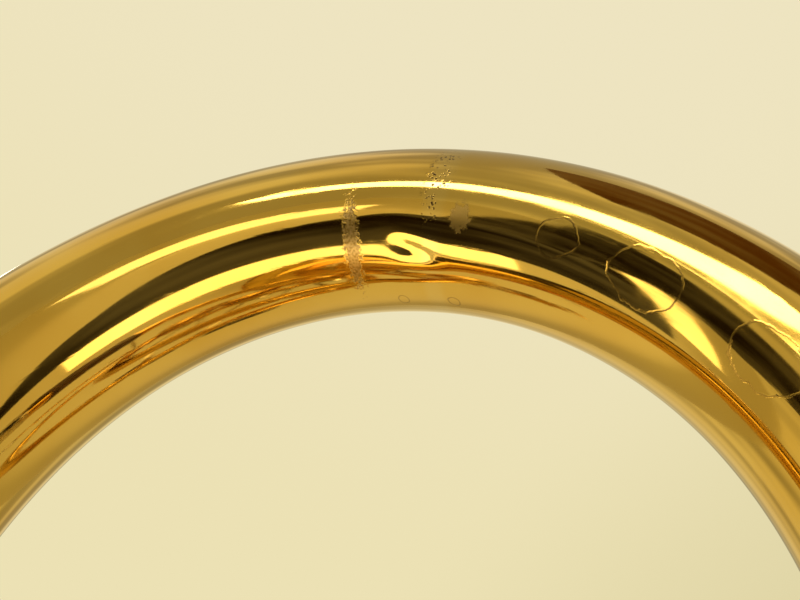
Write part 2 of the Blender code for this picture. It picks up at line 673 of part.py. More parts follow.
def make_action():
    pivot = Vector((0, AXLE_Y, AXLE_Z))
    hubs = [x + PIN_OFFSET for x in VALVE_XS]
    for number, hub_x in enumerate(hubs, 1):
        paddle_x = hubs[1] + (number - 2) * PADDLE_PITCH
        origin = Vector((hub_x, AXLE_Y, AXLE_Z))
        add_piece(f"lever_{number}", lever_mesh(hub_x, paddle_x), "nickel_silver", origin)
        foot = Vector((hub_x, LINK_Y, VALVE_Z + PIN_OFFSET))
        add_piece(f"link_{number}", link_mesh(hub_x), "nickel_silver", foot)
        way = -1 if number == 1 else 1
        start = hub_x + way * (HUB_HALF + SPRING_WIRE + SEAT_GAP)
        add_piece(f"lever_{number}_spring", spring_mesh(start, way), "steel")
    ends = [hubs[0] - HUB_HALF - AXLE_OVERHANG, hubs[-1] + HUB_HALF + AXLE_OVERHANG]
    nut = 0.0035
    span = ends[1] - ends[0]
    profile = [(0, 0), (nut, 0), (nut, 0.003), (AXLE_RADIUS, 0.003), (AXLE_RADIUS, span - 0.003),
               (nut, span - 0.003), (nut, span), (0, span)]
    axle = turned(profile, 16, Vector((ends[0], AXLE_Y, AXLE_Z)), Vector((1, 0, 0)))
    add_piece("lever_axle", axle, "steel", pivot)
    for number, x in enumerate((VALVE_XS[0] + VALVE_XS[1], VALVE_XS[1] + VALVE_XS[2]), 1):
        add_piece(f"axle_post_{number}", post_mesh(x / 2), "nickel_silver")


def post_mesh(x):
    """A post that stands on a knuckle and holds the axle in an eye."""
    base = VALVE_Y + TUBE_RADIUS * math.cos(math.pi / TUBE_SIDES) + SEAT_GAP
    height = AXLE_Y - base
    eye = HUB_RADIUS - 0.0002
    profile = [(0, 0), (POST_FOOT, 0), (POST_FOOT, 0.001), (POST_RADIUS, 0.003),
               (POST_RADIUS, height - 0.7 * eye), (0, height - 0.7 * eye)]
    stem = turned(profile, 12, Vector((x, base, AXLE_Z)), Vector((0, 1, 0)))
    bore = around(AXLE_RADIUS, 16, BEARING_GAP)
    half = POST_RADIUS + 0.0004
    ring = turned([(bore, 0), (eye, 0), (eye, 2 * half), (bore, 2 * half)],
                  16, Vector((x - half, AXLE_Y, AXLE_Z)), Vector((1, 0, 0)))
    return combined(ring, ("UNION", stem))


def add_brace(name, start, end):
    """A soldered brace: a thin rod between two round feet."""
    length = (end - start).length
    thick = BRACE_FLANGE_THICK
    profile = [(0, 0), (BRACE_FLANGE, 0), (BRACE_FLANGE, thick / 2), (BRACE_RADIUS, thick),
               (BRACE_RADIUS, length - thick), (BRACE_FLANGE, length - thick / 2),
               (BRACE_FLANGE, length), (0, length)]
    add_piece(name, turned(profile, 12, start, (end - start).normalized()), "nickel_silver")


def flat_of(radius, sides):
    """How far a many-sided tube's flat is from its axis, and the gap to a piece on it."""
    return radius * math.cos(math.pi / sides) + SEAT_GAP


def make_braces():
    route = branch_route()
    leg_z = -(LOWER_BOW_DEPTH - 0.028)
    bell_y = flat_of(bell_radius(BELL_HEIGHT + leg_z - BRACE_FLANGE), BIG_SIDES)
    branch_y = VALVE_Y - flat_of(BRANCH_MIDDLE + 0.0004, BIG_SIDES)
    add_brace("brace_bell", Vector((BELL_X, bell_y, leg_z)), Vector((BELL_X, branch_y, leg_z)))
    run = sum((after - before).length for before, after in zip(route, route[1:]))
    side_z = -LOOP_DEPTH + 0.004
    leg_radius = BOW_SMALL_END - (BOW_SMALL_END - BRANCH_MIDDLE) * (route[0].z - side_z) / run
    side_y = flat_of(leg_radius, BIG_SIDES)
    loop_y = LOOP_Y - flat_of(TUBE_RADIUS, TUBE_SIDES)
    side_x = (BOW_RADIUS + LOOP_RADIUS) / 2 + 0.002
    add_brace("brace_side", Vector((side_x, side_y, side_z)), Vector((side_x, loop_y, side_z)))
    low = Vector((0, LOOP_Y, -LOOP_DEPTH - LOOP_RADIUS - flat_of(TUBE_RADIUS, TUBE_SIDES)))
    pipe_top = Vector((0, LOOP_Y, -LOOP_DEPTH - MOUTHPIPE_RADIUS + flat_of(TUBE_RADIUS, TUBE_SIDES)))
    add_brace("brace_mouthpipe", low, pipe_top)
    slide = [Vector((x, LOOP_Y, MAIN_SLIDE_TOP - 0.02)) for x in MAIN_SLIDE_XS]
    inset = Vector((flat_of(SLIDE_INNER, TUBE_SIDES), 0, 0))
    add_brace("brace_tuning_slide", slide[0] + inset, slide[1] - inset)


def make_hook():
    """The little finger's hook, on the inside of the long loop's right leg."""
    start = Vector((LOOP_RADIUS - flat_of(TUBE_RADIUS, TUBE_SIDES), LOOP_Y, -0.5 * (UPPER_BEND_DEPTH + LOOP_DEPTH)))
    neck = start - Vector((0.006, 0, 0))
    bend = arc(neck.x - 0.002, neck.z + HOOK_RADIUS, HOOK_RADIUS, -90, -270, 10, LOOP_Y)
    tip = bend[-1] + Vector((0.006, 0, 0))
    wire = rod([start, neck, *bend, tip], HOOK_WIRE, TUBE_SIDES)
    foot = turned([(0, 0), (0.0052, 0), (0.0052, 0.0012), (0, 0.0012)], 12, start, Vector((-1, 0, 0)))
    add_piece("finger_hook", combined(wire, ("UNION", foot)), "nickel_silver")


def stand_on_origin():
    """Moves the horn so that the middle of its base is the origin."""
    bpy.context.view_layer.update()
    corners = []
    for obj in bpy.data.objects["horn"].children:
        corners += [obj.matrix_world @ vertex.co for vertex in obj.data.vertices]
    lows, highs = ([pick(corner[axis] for corner in corners) for axis in range(3)] for pick in (min, max))
    middle = Vector(((lows[0] + highs[0]) / 2, (lows[1] + highs[1]) / 2, lows[2]))
    bpy.data.objects["horn"].location = -middle


def make_horn():
    clear_scene()
    horn = bpy.data.objects.new("horn", None)
    bpy.context.scene.collection.objects.link(horn)
    make_bell()
    make_bow()
    make_branches()
    make_mouthpipe()
    make_main_slide()
    make_long_loop()
    make_valves()
    make_valve_slides()
    make_action()
    make_braces()
    make_hook()
    stand_on_origin()


make_horn()
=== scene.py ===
# %% [markdown]
# # A french horn, from bare frame to finished brass
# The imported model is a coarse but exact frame: it says where each tube, valve and lever is.
# Here every piece that shows is made again as a fine mesh in the same place, and each gets
# the finish of the metal or leather that it is made of on a real horn.

# %% Load the frame
import json
import math

import bmesh
import bpy
from mathutils import Matrix, Vector, noise


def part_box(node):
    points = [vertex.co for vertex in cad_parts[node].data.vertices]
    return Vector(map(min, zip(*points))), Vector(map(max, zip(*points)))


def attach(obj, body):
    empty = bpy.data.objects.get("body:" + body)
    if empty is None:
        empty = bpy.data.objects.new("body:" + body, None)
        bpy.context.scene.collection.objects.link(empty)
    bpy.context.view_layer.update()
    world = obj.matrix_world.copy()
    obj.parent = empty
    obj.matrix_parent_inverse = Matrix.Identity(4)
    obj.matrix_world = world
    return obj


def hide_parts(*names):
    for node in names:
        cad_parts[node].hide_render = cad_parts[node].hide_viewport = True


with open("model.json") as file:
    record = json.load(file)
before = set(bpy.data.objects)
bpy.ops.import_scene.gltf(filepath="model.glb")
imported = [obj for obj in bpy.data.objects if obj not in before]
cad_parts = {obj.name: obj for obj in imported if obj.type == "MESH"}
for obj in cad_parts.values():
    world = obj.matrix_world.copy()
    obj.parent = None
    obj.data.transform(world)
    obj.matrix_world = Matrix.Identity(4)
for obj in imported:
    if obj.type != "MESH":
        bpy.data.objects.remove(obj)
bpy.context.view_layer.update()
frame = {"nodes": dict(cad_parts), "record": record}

bell_low, bell_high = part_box("bell_flare")
bell_x = (bell_low.x + bell_high.x) / 2

# %% [markdown]
# ## Sizes
# The horn is laid out round the centre of its big bow. These are the sizes that a maker's
# drawing would give: the bend of each tube, its thickness, and how deep each part lies.
# All of them are in metres, measured from the bow's centre.

# %% Layout of the horn
BOW_RADIUS = 0.105
BELL_HEIGHT = 0.430
BELL_X = -BOW_RADIUS
HORN_CENTRE = Vector((bell_x + BOW_RADIUS, 0, BELL_HEIGHT))
RIM_RADIUS, RIM_BEAD = 0.155, 0.0022
BELL_SPREAD, BELL_POWER, FLARE_LENGTH = 0.0343, 0.7, 0.200
BOW_SMALL_END, BRANCH_MIDDLE, BOW_TAIL = 0.0177, 0.0110, 0.030
LOWER_BOW_DEPTH, UPPER_BEND_DEPTH = 0.200, 0.100
BODY_WALL, TUBE_WALL, TUBE_RADIUS = 0.0006, 0.0006, 0.0066
VALVE_Y, LOOP_Y, LOOP_RADIUS, LOOP_DEPTH = 0.058, 0.086, 0.113, 0.170
SEAT_GAP = 0.0003
print("bow's centre at", tuple(round(c, 4) for c in HORN_CENTRE))

# %% [markdown]
# The rest of the sizes are those of the parts that a player handles: the thin tube that
# is blown into, the slides that tune it, and the valves with their levers.

# %% Mouthpipe, slides and valves
MOUTHPIPE_RADIUS, MOUTHPIPE_ANGLE, MOUTHPIPE_STRAIGHT, MOUTHPIPE_TIP = 0.136, 60.0, 0.200, 0.0048
RECEIVER_LENGTH, RECEIVER_OVERLAP, SHANK_INSIDE = 0.050, 0.020, 0.026
MOUTHPIECE_LENGTH, MOUTHPIECE_RIM, MOUTHPIECE_BORE = 0.066, 0.0130, 0.0023
MAIN_SLIDE_BOTTOM, MAIN_SLIDE_TOP, MAIN_SLIDE_SHOWN, MAIN_LEG_INSIDE = -0.118, -0.045, 0.006, 0.055
VALVE_SLIDE_LENGTHS, VALVE_SLIDE_SHOWN = (0.046, 0.020, 0.050), 0.005
VALVE_PITCH, VALVE_Z, PORT_OFFSET, PORT_REACH = 0.045, -0.135, 0.011, 0.022
CASING_RADIUS, CASING_HALF, BOSS_RADIUS, BOSS_HEIGHT = 0.018, 0.013, 0.0080, 0.0045
STOP_RADIUS, STOP_THICK, STOP_HUB, STOP_LUG = 0.00585, 0.0030, 0.0050, 0.0105
PIN_HEIGHT, LINK_THICK, LINK_WIDTH = 0.0044, 0.0016, 0.0050
CRANK_LENGTH, AXLE_RADIUS, AXLE_OVERHANG, HUB_RADIUS, HUB_HALF = 0.0300, 0.0020, 0.0120, 0.0048, 0.0050
ARM_WIDTH, ARM_THICK, ARM_REACH = 0.0050, 0.0024, 0.048
PADDLE_LENGTH, PADDLE_WIDTH, PADDLE_PITCH, PRESS_ANGLE = 0.030, 0.0180, 0.0215, 16.0
SLIDE_OUTER = TUBE_RADIUS + 0.0006
SLIDE_LEG = SLIDE_OUTER - 0.0008
VALVE_XS = [VALVE_PITCH * place for place in (-1, 0, 1)]
FRONT_Y = VALVE_Y + CASING_HALF
PIN_OFFSET = STOP_RADIUS * math.sqrt(0.5)
STOP_Y = FRONT_Y + BOSS_HEIGHT + 2 * SEAT_GAP
LINK_Y = STOP_Y + STOP_THICK / 2 + PIN_HEIGHT + SEAT_GAP + LINK_THICK / 2
AXLE_Y = LINK_Y + CRANK_LENGTH
AXLE_Z = VALVE_Z + PORT_REACH + VALVE_PITCH / 2 - PORT_OFFSET
HUB_XS = [x + PIN_OFFSET for x in VALVE_XS]
print("lever axle at y =", round(AXLE_Y, 4), "z =", round(AXLE_Z, 4))

# %% [markdown]
# ## Colour and nodes
# Colours are written as the hex values a paint chart would give. Blender's shaders work in
# linear light, so one function turns them. Another adds a shader node with its settings
# and its links, so that each material reads as a list of what it is made of.

# %% Colour and node helpers
def linear(hex_colour):
    """A hex colour as linear red, green, blue and alpha."""
    channels = [int(hex_colour[place:place + 2], 16) / 255 for place in (1, 3, 5)]
    return tuple(c / 12.92 if c <= 0.04045 else ((c + 0.055) / 1.055) ** 2.4 for c in channels) + (1.0,)


def add(tree, kind, links=None, **settings):
    """Adds a node. Links maps an input to a socket or a plain value."""
    node = tree.nodes.new(kind)
    for name, value in settings.items():
        setattr(node, name, value)
    for name, value in (links or {}).items():
        if isinstance(value, bpy.types.NodeSocket):
            tree.links.new(value, node.inputs[name])
        else:
            node.inputs[name].default_value = value
    return node


def maths(tree, operation, first, second=0.0, third=0.0, clamp=False):
    node = add(tree, "ShaderNodeMath", {0: first, 1: second, 2: third}, operation=operation, use_clamp=clamp)
    return node.outputs[0]


def smooth_range(tree, value, low, high, to_low=0.0, to_high=1.0):
    node = add(tree, "ShaderNodeMapRange", {"Value": value, "From Min": low, "From Max": high,
                                            "To Min": to_low, "To Max": to_high},
               interpolation_type="SMOOTHSTEP")
    return node.outputs[0]


def blend_colour(tree, share, first, second, kind="MIX"):
    node = add(tree, "ShaderNodeMix", {0: share, 6: first, 7: second}, data_type="RGBA", blend_type=kind)
    return node.outputs[2]


print("linear gold:", [round(c, 3) for c in linear("#D9B55A")])

# %% [markdown]
# ## Building tubes
# A horn is tube from end to end. Drawn tube is bent round a former, so its section stays
# round and its middle line is made of straights and arcs. A swept mesh does the same: rings
# of points stand square to the line. Each point also stores its length along the tube and
# round it in metres, so that scratches and marks can be placed at their real size.

# %% Swept and turned shapes
def arc(centre_x, centre_z, radius, start, end, steps, y_start, y_end=None):
    """Points on an arc in the XZ plane, in degrees, that may ease from one y to another."""
    y_end = y_start if y_end is None else y_end
    points = []
    for step in range(steps + 1):
        share = step / steps
        angle = math.radians(start + (end - start) * share)
        ease = share * share * (3 - 2 * share)
        points.append(Vector((centre_x + radius * math.cos(angle), y_start + (y_end - y_start) * ease,
                              centre_z + radius * math.sin(angle))))
    return points


def running_lengths(points):
    run = [0.0]
    for before, after in zip(points, points[1:]):
        run.append(run[-1] + (after - before).length)
    return run


def taper(points, first, last):
    run = running_lengths(points)
    return [first + (last - first) * length / run[-1] for length in run]


def directions(points):
    steps = [(after - before).normalized() for before, after in zip(points, points[1:])]
    middles = [(before + after).normalized() for before, after in zip(steps, steps[1:])]
    return [steps[0], *middles, steps[-1]]


def ring_points(centre, across, side, radius, sides):
    angles = [2 * math.pi * (step + 0.5) / sides for step in range(sides)]
    return [centre + radius * (across * math.cos(a) + side * math.sin(a)) for a in angles]


def skin(rings, lengths, radii, closed_ends, joined_ends=False):
    """A mesh through rings of points, with its lengths in metres as texture coordinates."""
    sides = len(rings[0])
    mesh = bpy.data.meshes.new("shape")
    points = [tuple(point) for ring in rings for point in ring]
    faces, places = [], []
    pairs = list(zip(range(len(rings) - 1), range(1, len(rings))))
    if joined_ends:
        pairs.append((len(rings) - 1, 0))
    for first, second in pairs:
        for step in range(sides):
            after = (step + 1) % sides
            faces.append((first * sides + step, first * sides + after,
                          second * sides + after, second * sides + step))
            turns = [0.5 - (step + add_on + 0.5) / sides for add_on in (0, 1, 1, 0)]
            rows = (first, first, second, second)
            places += [(lengths[row], 2 * math.pi * turn * radii[row]) for row, turn in zip(rows, turns)]
    if closed_ends:
        for row in (0, len(rings) - 1):
            faces.append(tuple(row * sides + step for step in range(sides)))
            places += [(lengths[row], 0.0)] * sides
    mesh.from_pydata(points, [], faces)
    layer = mesh.uv_layers.new(name="metres")
    for loop, place in zip(layer.data, places):
        loop.uv = place
    return mesh


def pipe(points, radii, wall, sides=28, start_length=0.0):
    """A hollow tube along a route, open at both ends."""
    level = Vector((0, 1, 0))
    frames = []
    for direction in directions(points):
        across = (level - direction * level.dot(direction)).normalized()
        frames.append((across, direction.cross(across)))
    run = [length + start_length for length in running_lengths(points)]
    outside = [ring_points(p, *f, r, sides) for p, f, r in zip(points, frames, radii)]
    inside = [ring_points(p, *f, r - wall, sides) for p, f, r in zip(points, frames, radii)]
    return skin(outside + inside[::-1], run + run[::-1], radii + radii[::-1], False, joined_ends=True)


def rod(points, radius, sides=16, level=Vector((0, 1, 0))):
    """A solid bar along a route."""
    rings = []
    for point, direction in zip(points, directions(points)):
        across = (level - direction * level.dot(direction)).normalized()
        rings.append(ring_points(point, across, direction.cross(across), radius, sides))
    return skin(rings, running_lengths(points), [radius] * len(points), True)


def turned(profile, sides=64, centre=Vector(), direction=Vector((0, 0, 1))):
    """A lathe-turned solid from (radius, height) points, closed as a ring or at the axis."""
    turn = Vector((0, 0, 1)).rotation_difference(direction)
    across, side, along = (turn @ Vector(axis) for axis in ((1, 0, 0), (0, 1, 0), (0, 0, 1)))
    solid = profile[0][0] == 0
    shown = [(max(radius, 0.00004), height) for radius, height in profile]
    rings = [ring_points(centre + along * height, across, side, radius, sides) for radius, height in shown]
    run = [0.0]
    for (r_a, h_a), (r_b, h_b) in zip(shown, shown[1:]):
        run.append(run[-1] + math.hypot(r_b - r_a, h_b - h_a))
    return skin(rings, run, [radius for radius, _ in shown], solid, joined_ends=not solid)


print("shape helpers ready")

# %% [markdown]
# ## Flat parts and cut parts
# Levers, links and stop plates are cut from sheet, so they are outlines with a thickness.
# A valve casing is a turned body with four stub tubes brazed on and then bored out, and
# Boolean steps do the same in the same order.

# %% Plates and Boolean steps
def plate(outline, low, high, axis):
    """An outline of (first, second) points with a thickness along X or Y."""
    if axis == "Y":
        rings = [[Vector((a, level, b)) for a, b in outline] for level in (low, high)]
    else:
        rings = [[Vector((level, a, b)) for a, b in outline] for level in (low, high)]
    return skin(rings, [0.0, high - low], [0.003, 0.003], True)


def circle(centre, radius, start, end, steps):
    angles = [math.radians(start + (end - start) * step / steps) for step in range(steps + 1)]
    return [(centre[0] + radius * math.cos(a), centre[1] + radius * math.sin(a)) for a in angles]


def outward(mesh):
    """Turns all faces out."""
    work = bmesh.new()
    work.from_mesh(mesh)
    bmesh.ops.recalc_face_normals(work, faces=work.faces)
    work.to_mesh(mesh)
    work.free()
    return mesh


def joined(meshes):
    work = bmesh.new()
    for mesh in meshes:
        work.from_mesh(outward(mesh))
    whole = bpy.data.meshes.new("shape")
    work.to_mesh(whole)
    work.free()
    return whole


def combined(base, *steps):
    """The base after Boolean steps (operation, mesh), left as a plain mesh."""
    body = bpy.data.objects.new("body", outward(base))
    bpy.context.scene.collection.objects.link(body)
    tools = []
    for operation, mesh in steps:
        tool = bpy.data.objects.new("tool", outward(mesh))
        bpy.context.scene.collection.objects.link(tool)
        tools.append(tool)
        cut = body.modifiers.new(operation.lower(), "BOOLEAN")
        cut.operation, cut.solver, cut.object = operation, "MANIFOLD", tool
    result = bpy.data.meshes.new_from_object(body.evaluated_get(bpy.context.evaluated_depsgraph_get()))
    for obj in (body, *tools):
        bpy.data.objects.remove(obj, do_unlink=True)
    return result


print("plate and Boolean helpers ready")

# %% [markdown]
# ## Putting a piece in its place
# Each fine piece stands for one node of the frame and moves with that node's body. Small
# extras, such as screws, replace nothing and ride on the body that they sit on.
# Edges of real metal parts are always broken a little, so flat pieces get a small bevel.

# %% Place a piece
body_of = {node: body for body, nodes in frame["record"]["behaviour"]["bodies"].items() for node in nodes}


def place(name, mesh, material, replaced=None, body=None, bevel=0.0, sharp=35, slot=None):
    """Adds a piece made in the horn's layout, in its finish, on its body."""
    mesh = outward(mesh)
    mesh.name = name
    mesh.transform(Matrix.Translation(HORN_CENTRE))
    mesh.materials.clear()
    mesh.materials.append(material)
    mesh.shade_smooth()
    mesh.set_sharp_from_angle(angle=math.radians(sharp))
    piece = bpy.data.objects.new(name, mesh)
    bpy.context.scene.collection.objects.link(piece)
    if bevel:
        edge = piece.modifiers.new("broken edge", "BEVEL")
        edge.width, edge.segments, edge.limit_method = bevel, 2, "ANGLE"
        edge.angle_limit = math.radians(40)
        edge.use_clamp_overlap = True
    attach(piece, body or body_of[replaced])
    if replaced:
        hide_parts(replaced)
    return piece


print(len(body_of), "frame nodes to stand for")

# %% [markdown]
# ## Lacquered yellow brass
# Most of a horn is yellow brass, about 70 parts copper to 30 zinc, polished to a mirror and
# dipped in clear lacquer. The metal gives the warm gold, the lacquer a thin hard shine over
# it. A mirror finish is never quite even: the spinner's and burnisher's work leaves slow
# waves, and a cloth leaves hairlines. Fingers leave a faint haze in patches.

# %% Make lacquered brass
HAIRLINE = 0.00035  # metres between polishing scratches, drawn wider than real so that they show
HAZE_PATCH = 0.045  # metres across a patch of faint haze


def fine_scratches(tree, coordinates, spacing, stretch=14.0):
    """Long thin noise: hairlines from a polishing cloth."""
    along = add(tree, "ShaderNodeMapping", {"Vector": coordinates, "Scale": (1 / stretch, 1.0, 1.0),
                                            "Rotation": (0, 0, 0.35)})
    lines = add(tree, "ShaderNodeTexNoise", {"Vector": along.outputs[0], "Scale": 1 / (spacing * 4),
                                             "Detail": 3.0, "Roughness": 0.6})
    return smooth_range(tree, lines.outputs[0], 0.56, 0.74)


def metal(name, pale, deep, roughness, coat=0.0, hairline=HAIRLINE, haze=0.05, bump=0.08):
    """A polished metal whose colour drifts between two tones, with haze and hairlines."""
    made = bpy.data.materials.new(name)
    made.use_nodes = True
    tree = made.node_tree
    shader = tree.nodes["Principled BSDF"]
    shader.inputs["Metallic"].default_value = 1.0
    shader.inputs["Coat Weight"].default_value = coat
    shader.inputs["Coat Roughness"].default_value = 0.03
    space = add(tree, "ShaderNodeTexCoord").outputs["Object"]
    metres = add(tree, "ShaderNodeUVMap", uv_map="metres").outputs[0]
    drift = add(tree, "ShaderNodeTexNoise", {"Vector": space, "Scale": 1 / HAZE_PATCH, "Detail": 3.0})
    colour = blend_colour(tree, smooth_range(tree, drift.outputs[0], 0.35, 0.7), linear(pale), linear(deep))
    scratches = fine_scratches(tree, metres, hairline)
    smear = add(tree, "ShaderNodeTexNoise", {"Vector": space, "Scale": 3.1 / HAZE_PATCH, "Detail": 5.0,
                                             "Distortion": 0.6})
    cloudy = smooth_range(tree, smear.outputs[0], 0.45, 0.75, roughness, roughness + haze)
    rough = maths(tree, "MULTIPLY_ADD", scratches, 0.06, cloudy)
    relief = add(tree, "ShaderNodeBump", {"Strength": bump, "Distance": 0.00005, "Height": scratches})
    tree.links.new(colour, shader.inputs["Base Color"])
    tree.links.new(rough, shader.inputs["Roughness"])
    tree.links.new(relief.outputs[0], shader.inputs["Normal"])
    return made


BRASS_PALE, BRASS_DEEP = "#E2BC5A", "#DAAE48"
lacquered_brass = metal("lacquered_yellow_brass", BRASS_PALE, BRASS_DEEP, 0.055, coat=0.25)
nickel_silver = metal("polished_nickel_silver", "#D2CCBE", "#C4BCAB", 0.07, haze=0.06)
spring_steel = metal("bright_spring_steel", "#A9ABAD", "#97999B", 0.22)
silver_plate = metal("silver_plate", "#EAE7E0", "#DEDAD0", 0.07, haze=0.06)
print("metals made:", [m.name for m in (lacquered_brass, nickel_silver, spring_steel, silver_plate)])

# %% [markdown]
# ## Lacquer that has lived
# The big bow carries the wear. A rough strip shows bare brass where the lacquer was rubbed
# through, a few dark specks run in a streak beside it, a tan patch has lost its shine, and
# along the front the lacquer has lifted in thin wandering outlines. Each mark is placed by its length
# from the top of the bow and its length round the tube from the front, both in metres, and
# its edge is broken up by noise, because lacquer flakes and never wears in a clean shape.

# %% Worn brass for the bow
def spot(tree, along, round_tube, centre, half_size, ragged, ragged_scale, edge=0.25):
    """1 inside a ragged ellipse, 0 outside it. All sizes are in metres."""
    u = maths(tree, "DIVIDE", maths(tree, "SUBTRACT", along, centre[0]), half_size[0])
    v = maths(tree, "DIVIDE", maths(tree, "SUBTRACT", round_tube, centre[1]), half_size[1])
    reach = maths(tree, "SQRT", maths(tree, "ADD", maths(tree, "MULTIPLY", u, u),
                                      maths(tree, "MULTIPLY", v, v)))
    place_on = add(tree, "ShaderNodeCombineXYZ", {"X": along, "Y": round_tube}).outputs[0]
    grain = add(tree, "ShaderNodeTexNoise", {"Vector": place_on, "Scale": ragged_scale,
                                             "Detail": 6.0}).outputs[0]
    broken = maths(tree, "MULTIPLY_ADD", maths(tree, "SUBTRACT", grain, 0.5), ragged, reach)
    return smooth_range(tree, broken, 1.0 + edge, 1.0 - edge), broken


def all_of(tree, values):
    total = values[0]
    for value in values[1:]:
        total = maths(tree, "MAXIMUM", total, value)
    return total


STRIP = dict(centre=(0.0002, -0.0215), half_size=(0.0022, 0.0105))
STREAK = dict(centre=(0.0225, -0.0035), half_size=(0.0028, 0.0105))
PATCH = dict(centre=(0.0312, -0.0135), half_size=(0.0028, 0.0034))
BLISTERS = ((0.0573, -0.0124, 0.0052, 0.0042), (0.0806, -0.0125, 0.0088, 0.0056),
            (0.1105, -0.0110, 0.0082, 0.0050), (0.0125, -0.0372, 0.0016, 0.0016),
            (0.0290, -0.0358, 0.0018, 0.0015))


def wear_the_bow(made):
    tree = made.node_tree
    shader = tree.nodes["Principled BSDF"]
    colour = shader.inputs["Base Color"].links[0].from_socket
    rough = shader.inputs["Roughness"].links[0].from_socket
    relief = shader.inputs["Normal"].links[0].from_node
    metres = add(tree, "ShaderNodeUVMap", uv_map="metres").outputs[0]
    parts = add(tree, "ShaderNodeSeparateXYZ", {0: metres}).outputs
    strip, _ = spot(tree, parts[0], parts[1], ragged=2.6, ragged_scale=900.0, **STRIP)
    zone, _ = spot(tree, parts[0], parts[1], ragged=0.8, ragged_scale=300.0, edge=0.5, **STREAK)
    cells = add(tree, "ShaderNodeTexVoronoi", {"Vector": metres, "Scale": 1150.0, "Randomness": 1.0})
    fleck = smooth_range(tree, cells.outputs["Distance"], 0.44, 0.30)
    some = add(tree, "ShaderNodeTexNoise", {"Vector": metres, "Scale": 420.0, "Detail": 2.0}).outputs[0]
    flecks = maths(tree, "MULTIPLY", maths(tree, "MULTIPLY", fleck, zone),
                   smooth_range(tree, some, 0.42, 0.54))
    patch, _ = spot(tree, parts[0], parts[1], ragged=1.6, ragged_scale=700.0, **PATCH)
    ghost = smooth_range(tree, maths(tree, "ABSOLUTE", maths(tree, "SUBTRACT", parts[0], 0.0235)), 0.0042,
                         0.0012)
    rings = []
    for u, v, half_u, half_v in BLISTERS:
        _, reach = spot(tree, parts[0], parts[1], (u, v), (half_u, half_v), ragged=0.7, ragged_scale=190.0)
        off_line = maths(tree, "ABSOLUTE", maths(tree, "SUBTRACT", reach, 1.0))
        width = 0.00013 / min(half_u, half_v)
        rings.append(smooth_range(tree, off_line, 2.2 * width, 0.4 * width))
    outlines = all_of(tree, rings)
    dirt = add(tree, "ShaderNodeTexNoise", {"Vector": metres, "Scale": 1400.0, "Detail": 4.0}).outputs[0]
    bare = blend_colour(tree, smooth_range(tree, dirt, 0.4, 0.65), linear("#C6A566"), linear("#8C6B36"))
    colour = blend_colour(tree, maths(tree, "MULTIPLY", ghost, 0.22), colour, linear("#E6CD86"))
    colour = blend_colour(tree, maths(tree, "MULTIPLY", strip, 0.8), colour, bare)
    colour = blend_colour(tree, maths(tree, "MULTIPLY", patch, 0.6), colour, linear("#B5965A"))
    colour = blend_colour(tree, maths(tree, "MULTIPLY", outlines, 0.5), colour, linear("#7A5622"))
    colour = blend_colour(tree, flecks, colour, linear("#3A2410"))
    worn = all_of(tree, [maths(tree, "MULTIPLY", strip, 0.34), maths(tree, "MULTIPLY", patch, 0.30),
                         maths(tree, "MULTIPLY", outlines, 0.2), maths(tree, "MULTIPLY", flecks, 0.5)])
    rough = maths(tree, "MAXIMUM", rough, worn)
    height = maths(tree, "MULTIPLY_ADD", outlines, 0.3,
                   maths(tree, "MULTIPLY", all_of(tree, [strip, flecks]), -1.0))
    second = add(tree, "ShaderNodeBump", {"Strength": 0.5, "Distance": 0.00006, "Height": height,
                                          "Normal": relief.outputs[0]})
    tree.links.new(colour, shader.inputs["Base Color"])
    tree.links.new(rough, shader.inputs["Roughness"])
    tree.links.new(second.outputs[0], shader.inputs["Normal"])


worn_brass = metal("worn_lacquered_brass", BRASS_PALE, BRASS_DEEP, 0.055, coat=0.25)
wear_the_bow(worn_brass)
print("worn brass has", len(worn_brass.node_tree.nodes), "nodes")

# %% [markdown]
# ## Leather, thread and rubber
# The hand guard is vegetable-tanned cowhide, dyed dark brown, with a pebbled grain about a
# millimetre across and worn paler on its high spots. It is laced with waxed thread. The
# stops that quieten the valves are small blocks of black rubber.

# %% Soft materials
GRAIN = 0.0011  # metres across one pebble of the leather's grain


def dull(name, pale, deep, roughness, scale, bump, distance, sheen=0.0):
    """A matt material with cells of grain in two tones."""
    made = bpy.data.materials.new(name)
    made.use_nodes = True
    tree = made.node_tree
    shader = tree.nodes["Principled BSDF"]
    shader.inputs["Sheen Weight"].default_value = sheen
    space = add(tree, "ShaderNodeTexCoord").outputs["Object"]
    cells = add(tree, "ShaderNodeTexVoronoi", {"Vector": space, "Scale": 1 / scale}, feature="SMOOTH_F1")
    cloud = add(tree, "ShaderNodeTexNoise", {"Vector": space, "Scale": 0.12 / scale, "Detail": 4.0})
    mixed = maths(tree, "MULTIPLY_ADD", cells.outputs["Distance"], 0.5, cloud.outputs[0])
    colour = blend_colour(tree, smooth_range(tree, mixed, 0.5, 1.0), linear(pale), linear(deep))
    rough = smooth_range(tree, cloud.outputs[0], 0.3, 0.7, roughness - 0.1, roughness + 0.1)
    relief = add(tree, "ShaderNodeBump", {"Strength": bump, "Distance": distance,
                                          "Height": cells.outputs["Distance"]}, invert=True)
    tree.links.new(colour, shader.inputs["Base Color"])
    tree.links.new(rough, shader.inputs["Roughness"])
    tree.links.new(relief.outputs[0], shader.inputs["Normal"])
    return made


cowhide = dull("dyed_cowhide", "#5A3822", "#2E1A10", 0.5, GRAIN, 0.6, 0.0002, sheen=0.15)
waxed_thread = dull("waxed_linen_thread", "#7A6448", "#4E3D2A", 0.65, 0.0004, 0.5, 0.0001)
black_rubber = dull("black_rubber", "#262525", "#161616", 0.7, 0.0006, 0.3, 0.00005)
print("soft materials:", cowhide.name, waxed_thread.name, black_rubber.name)

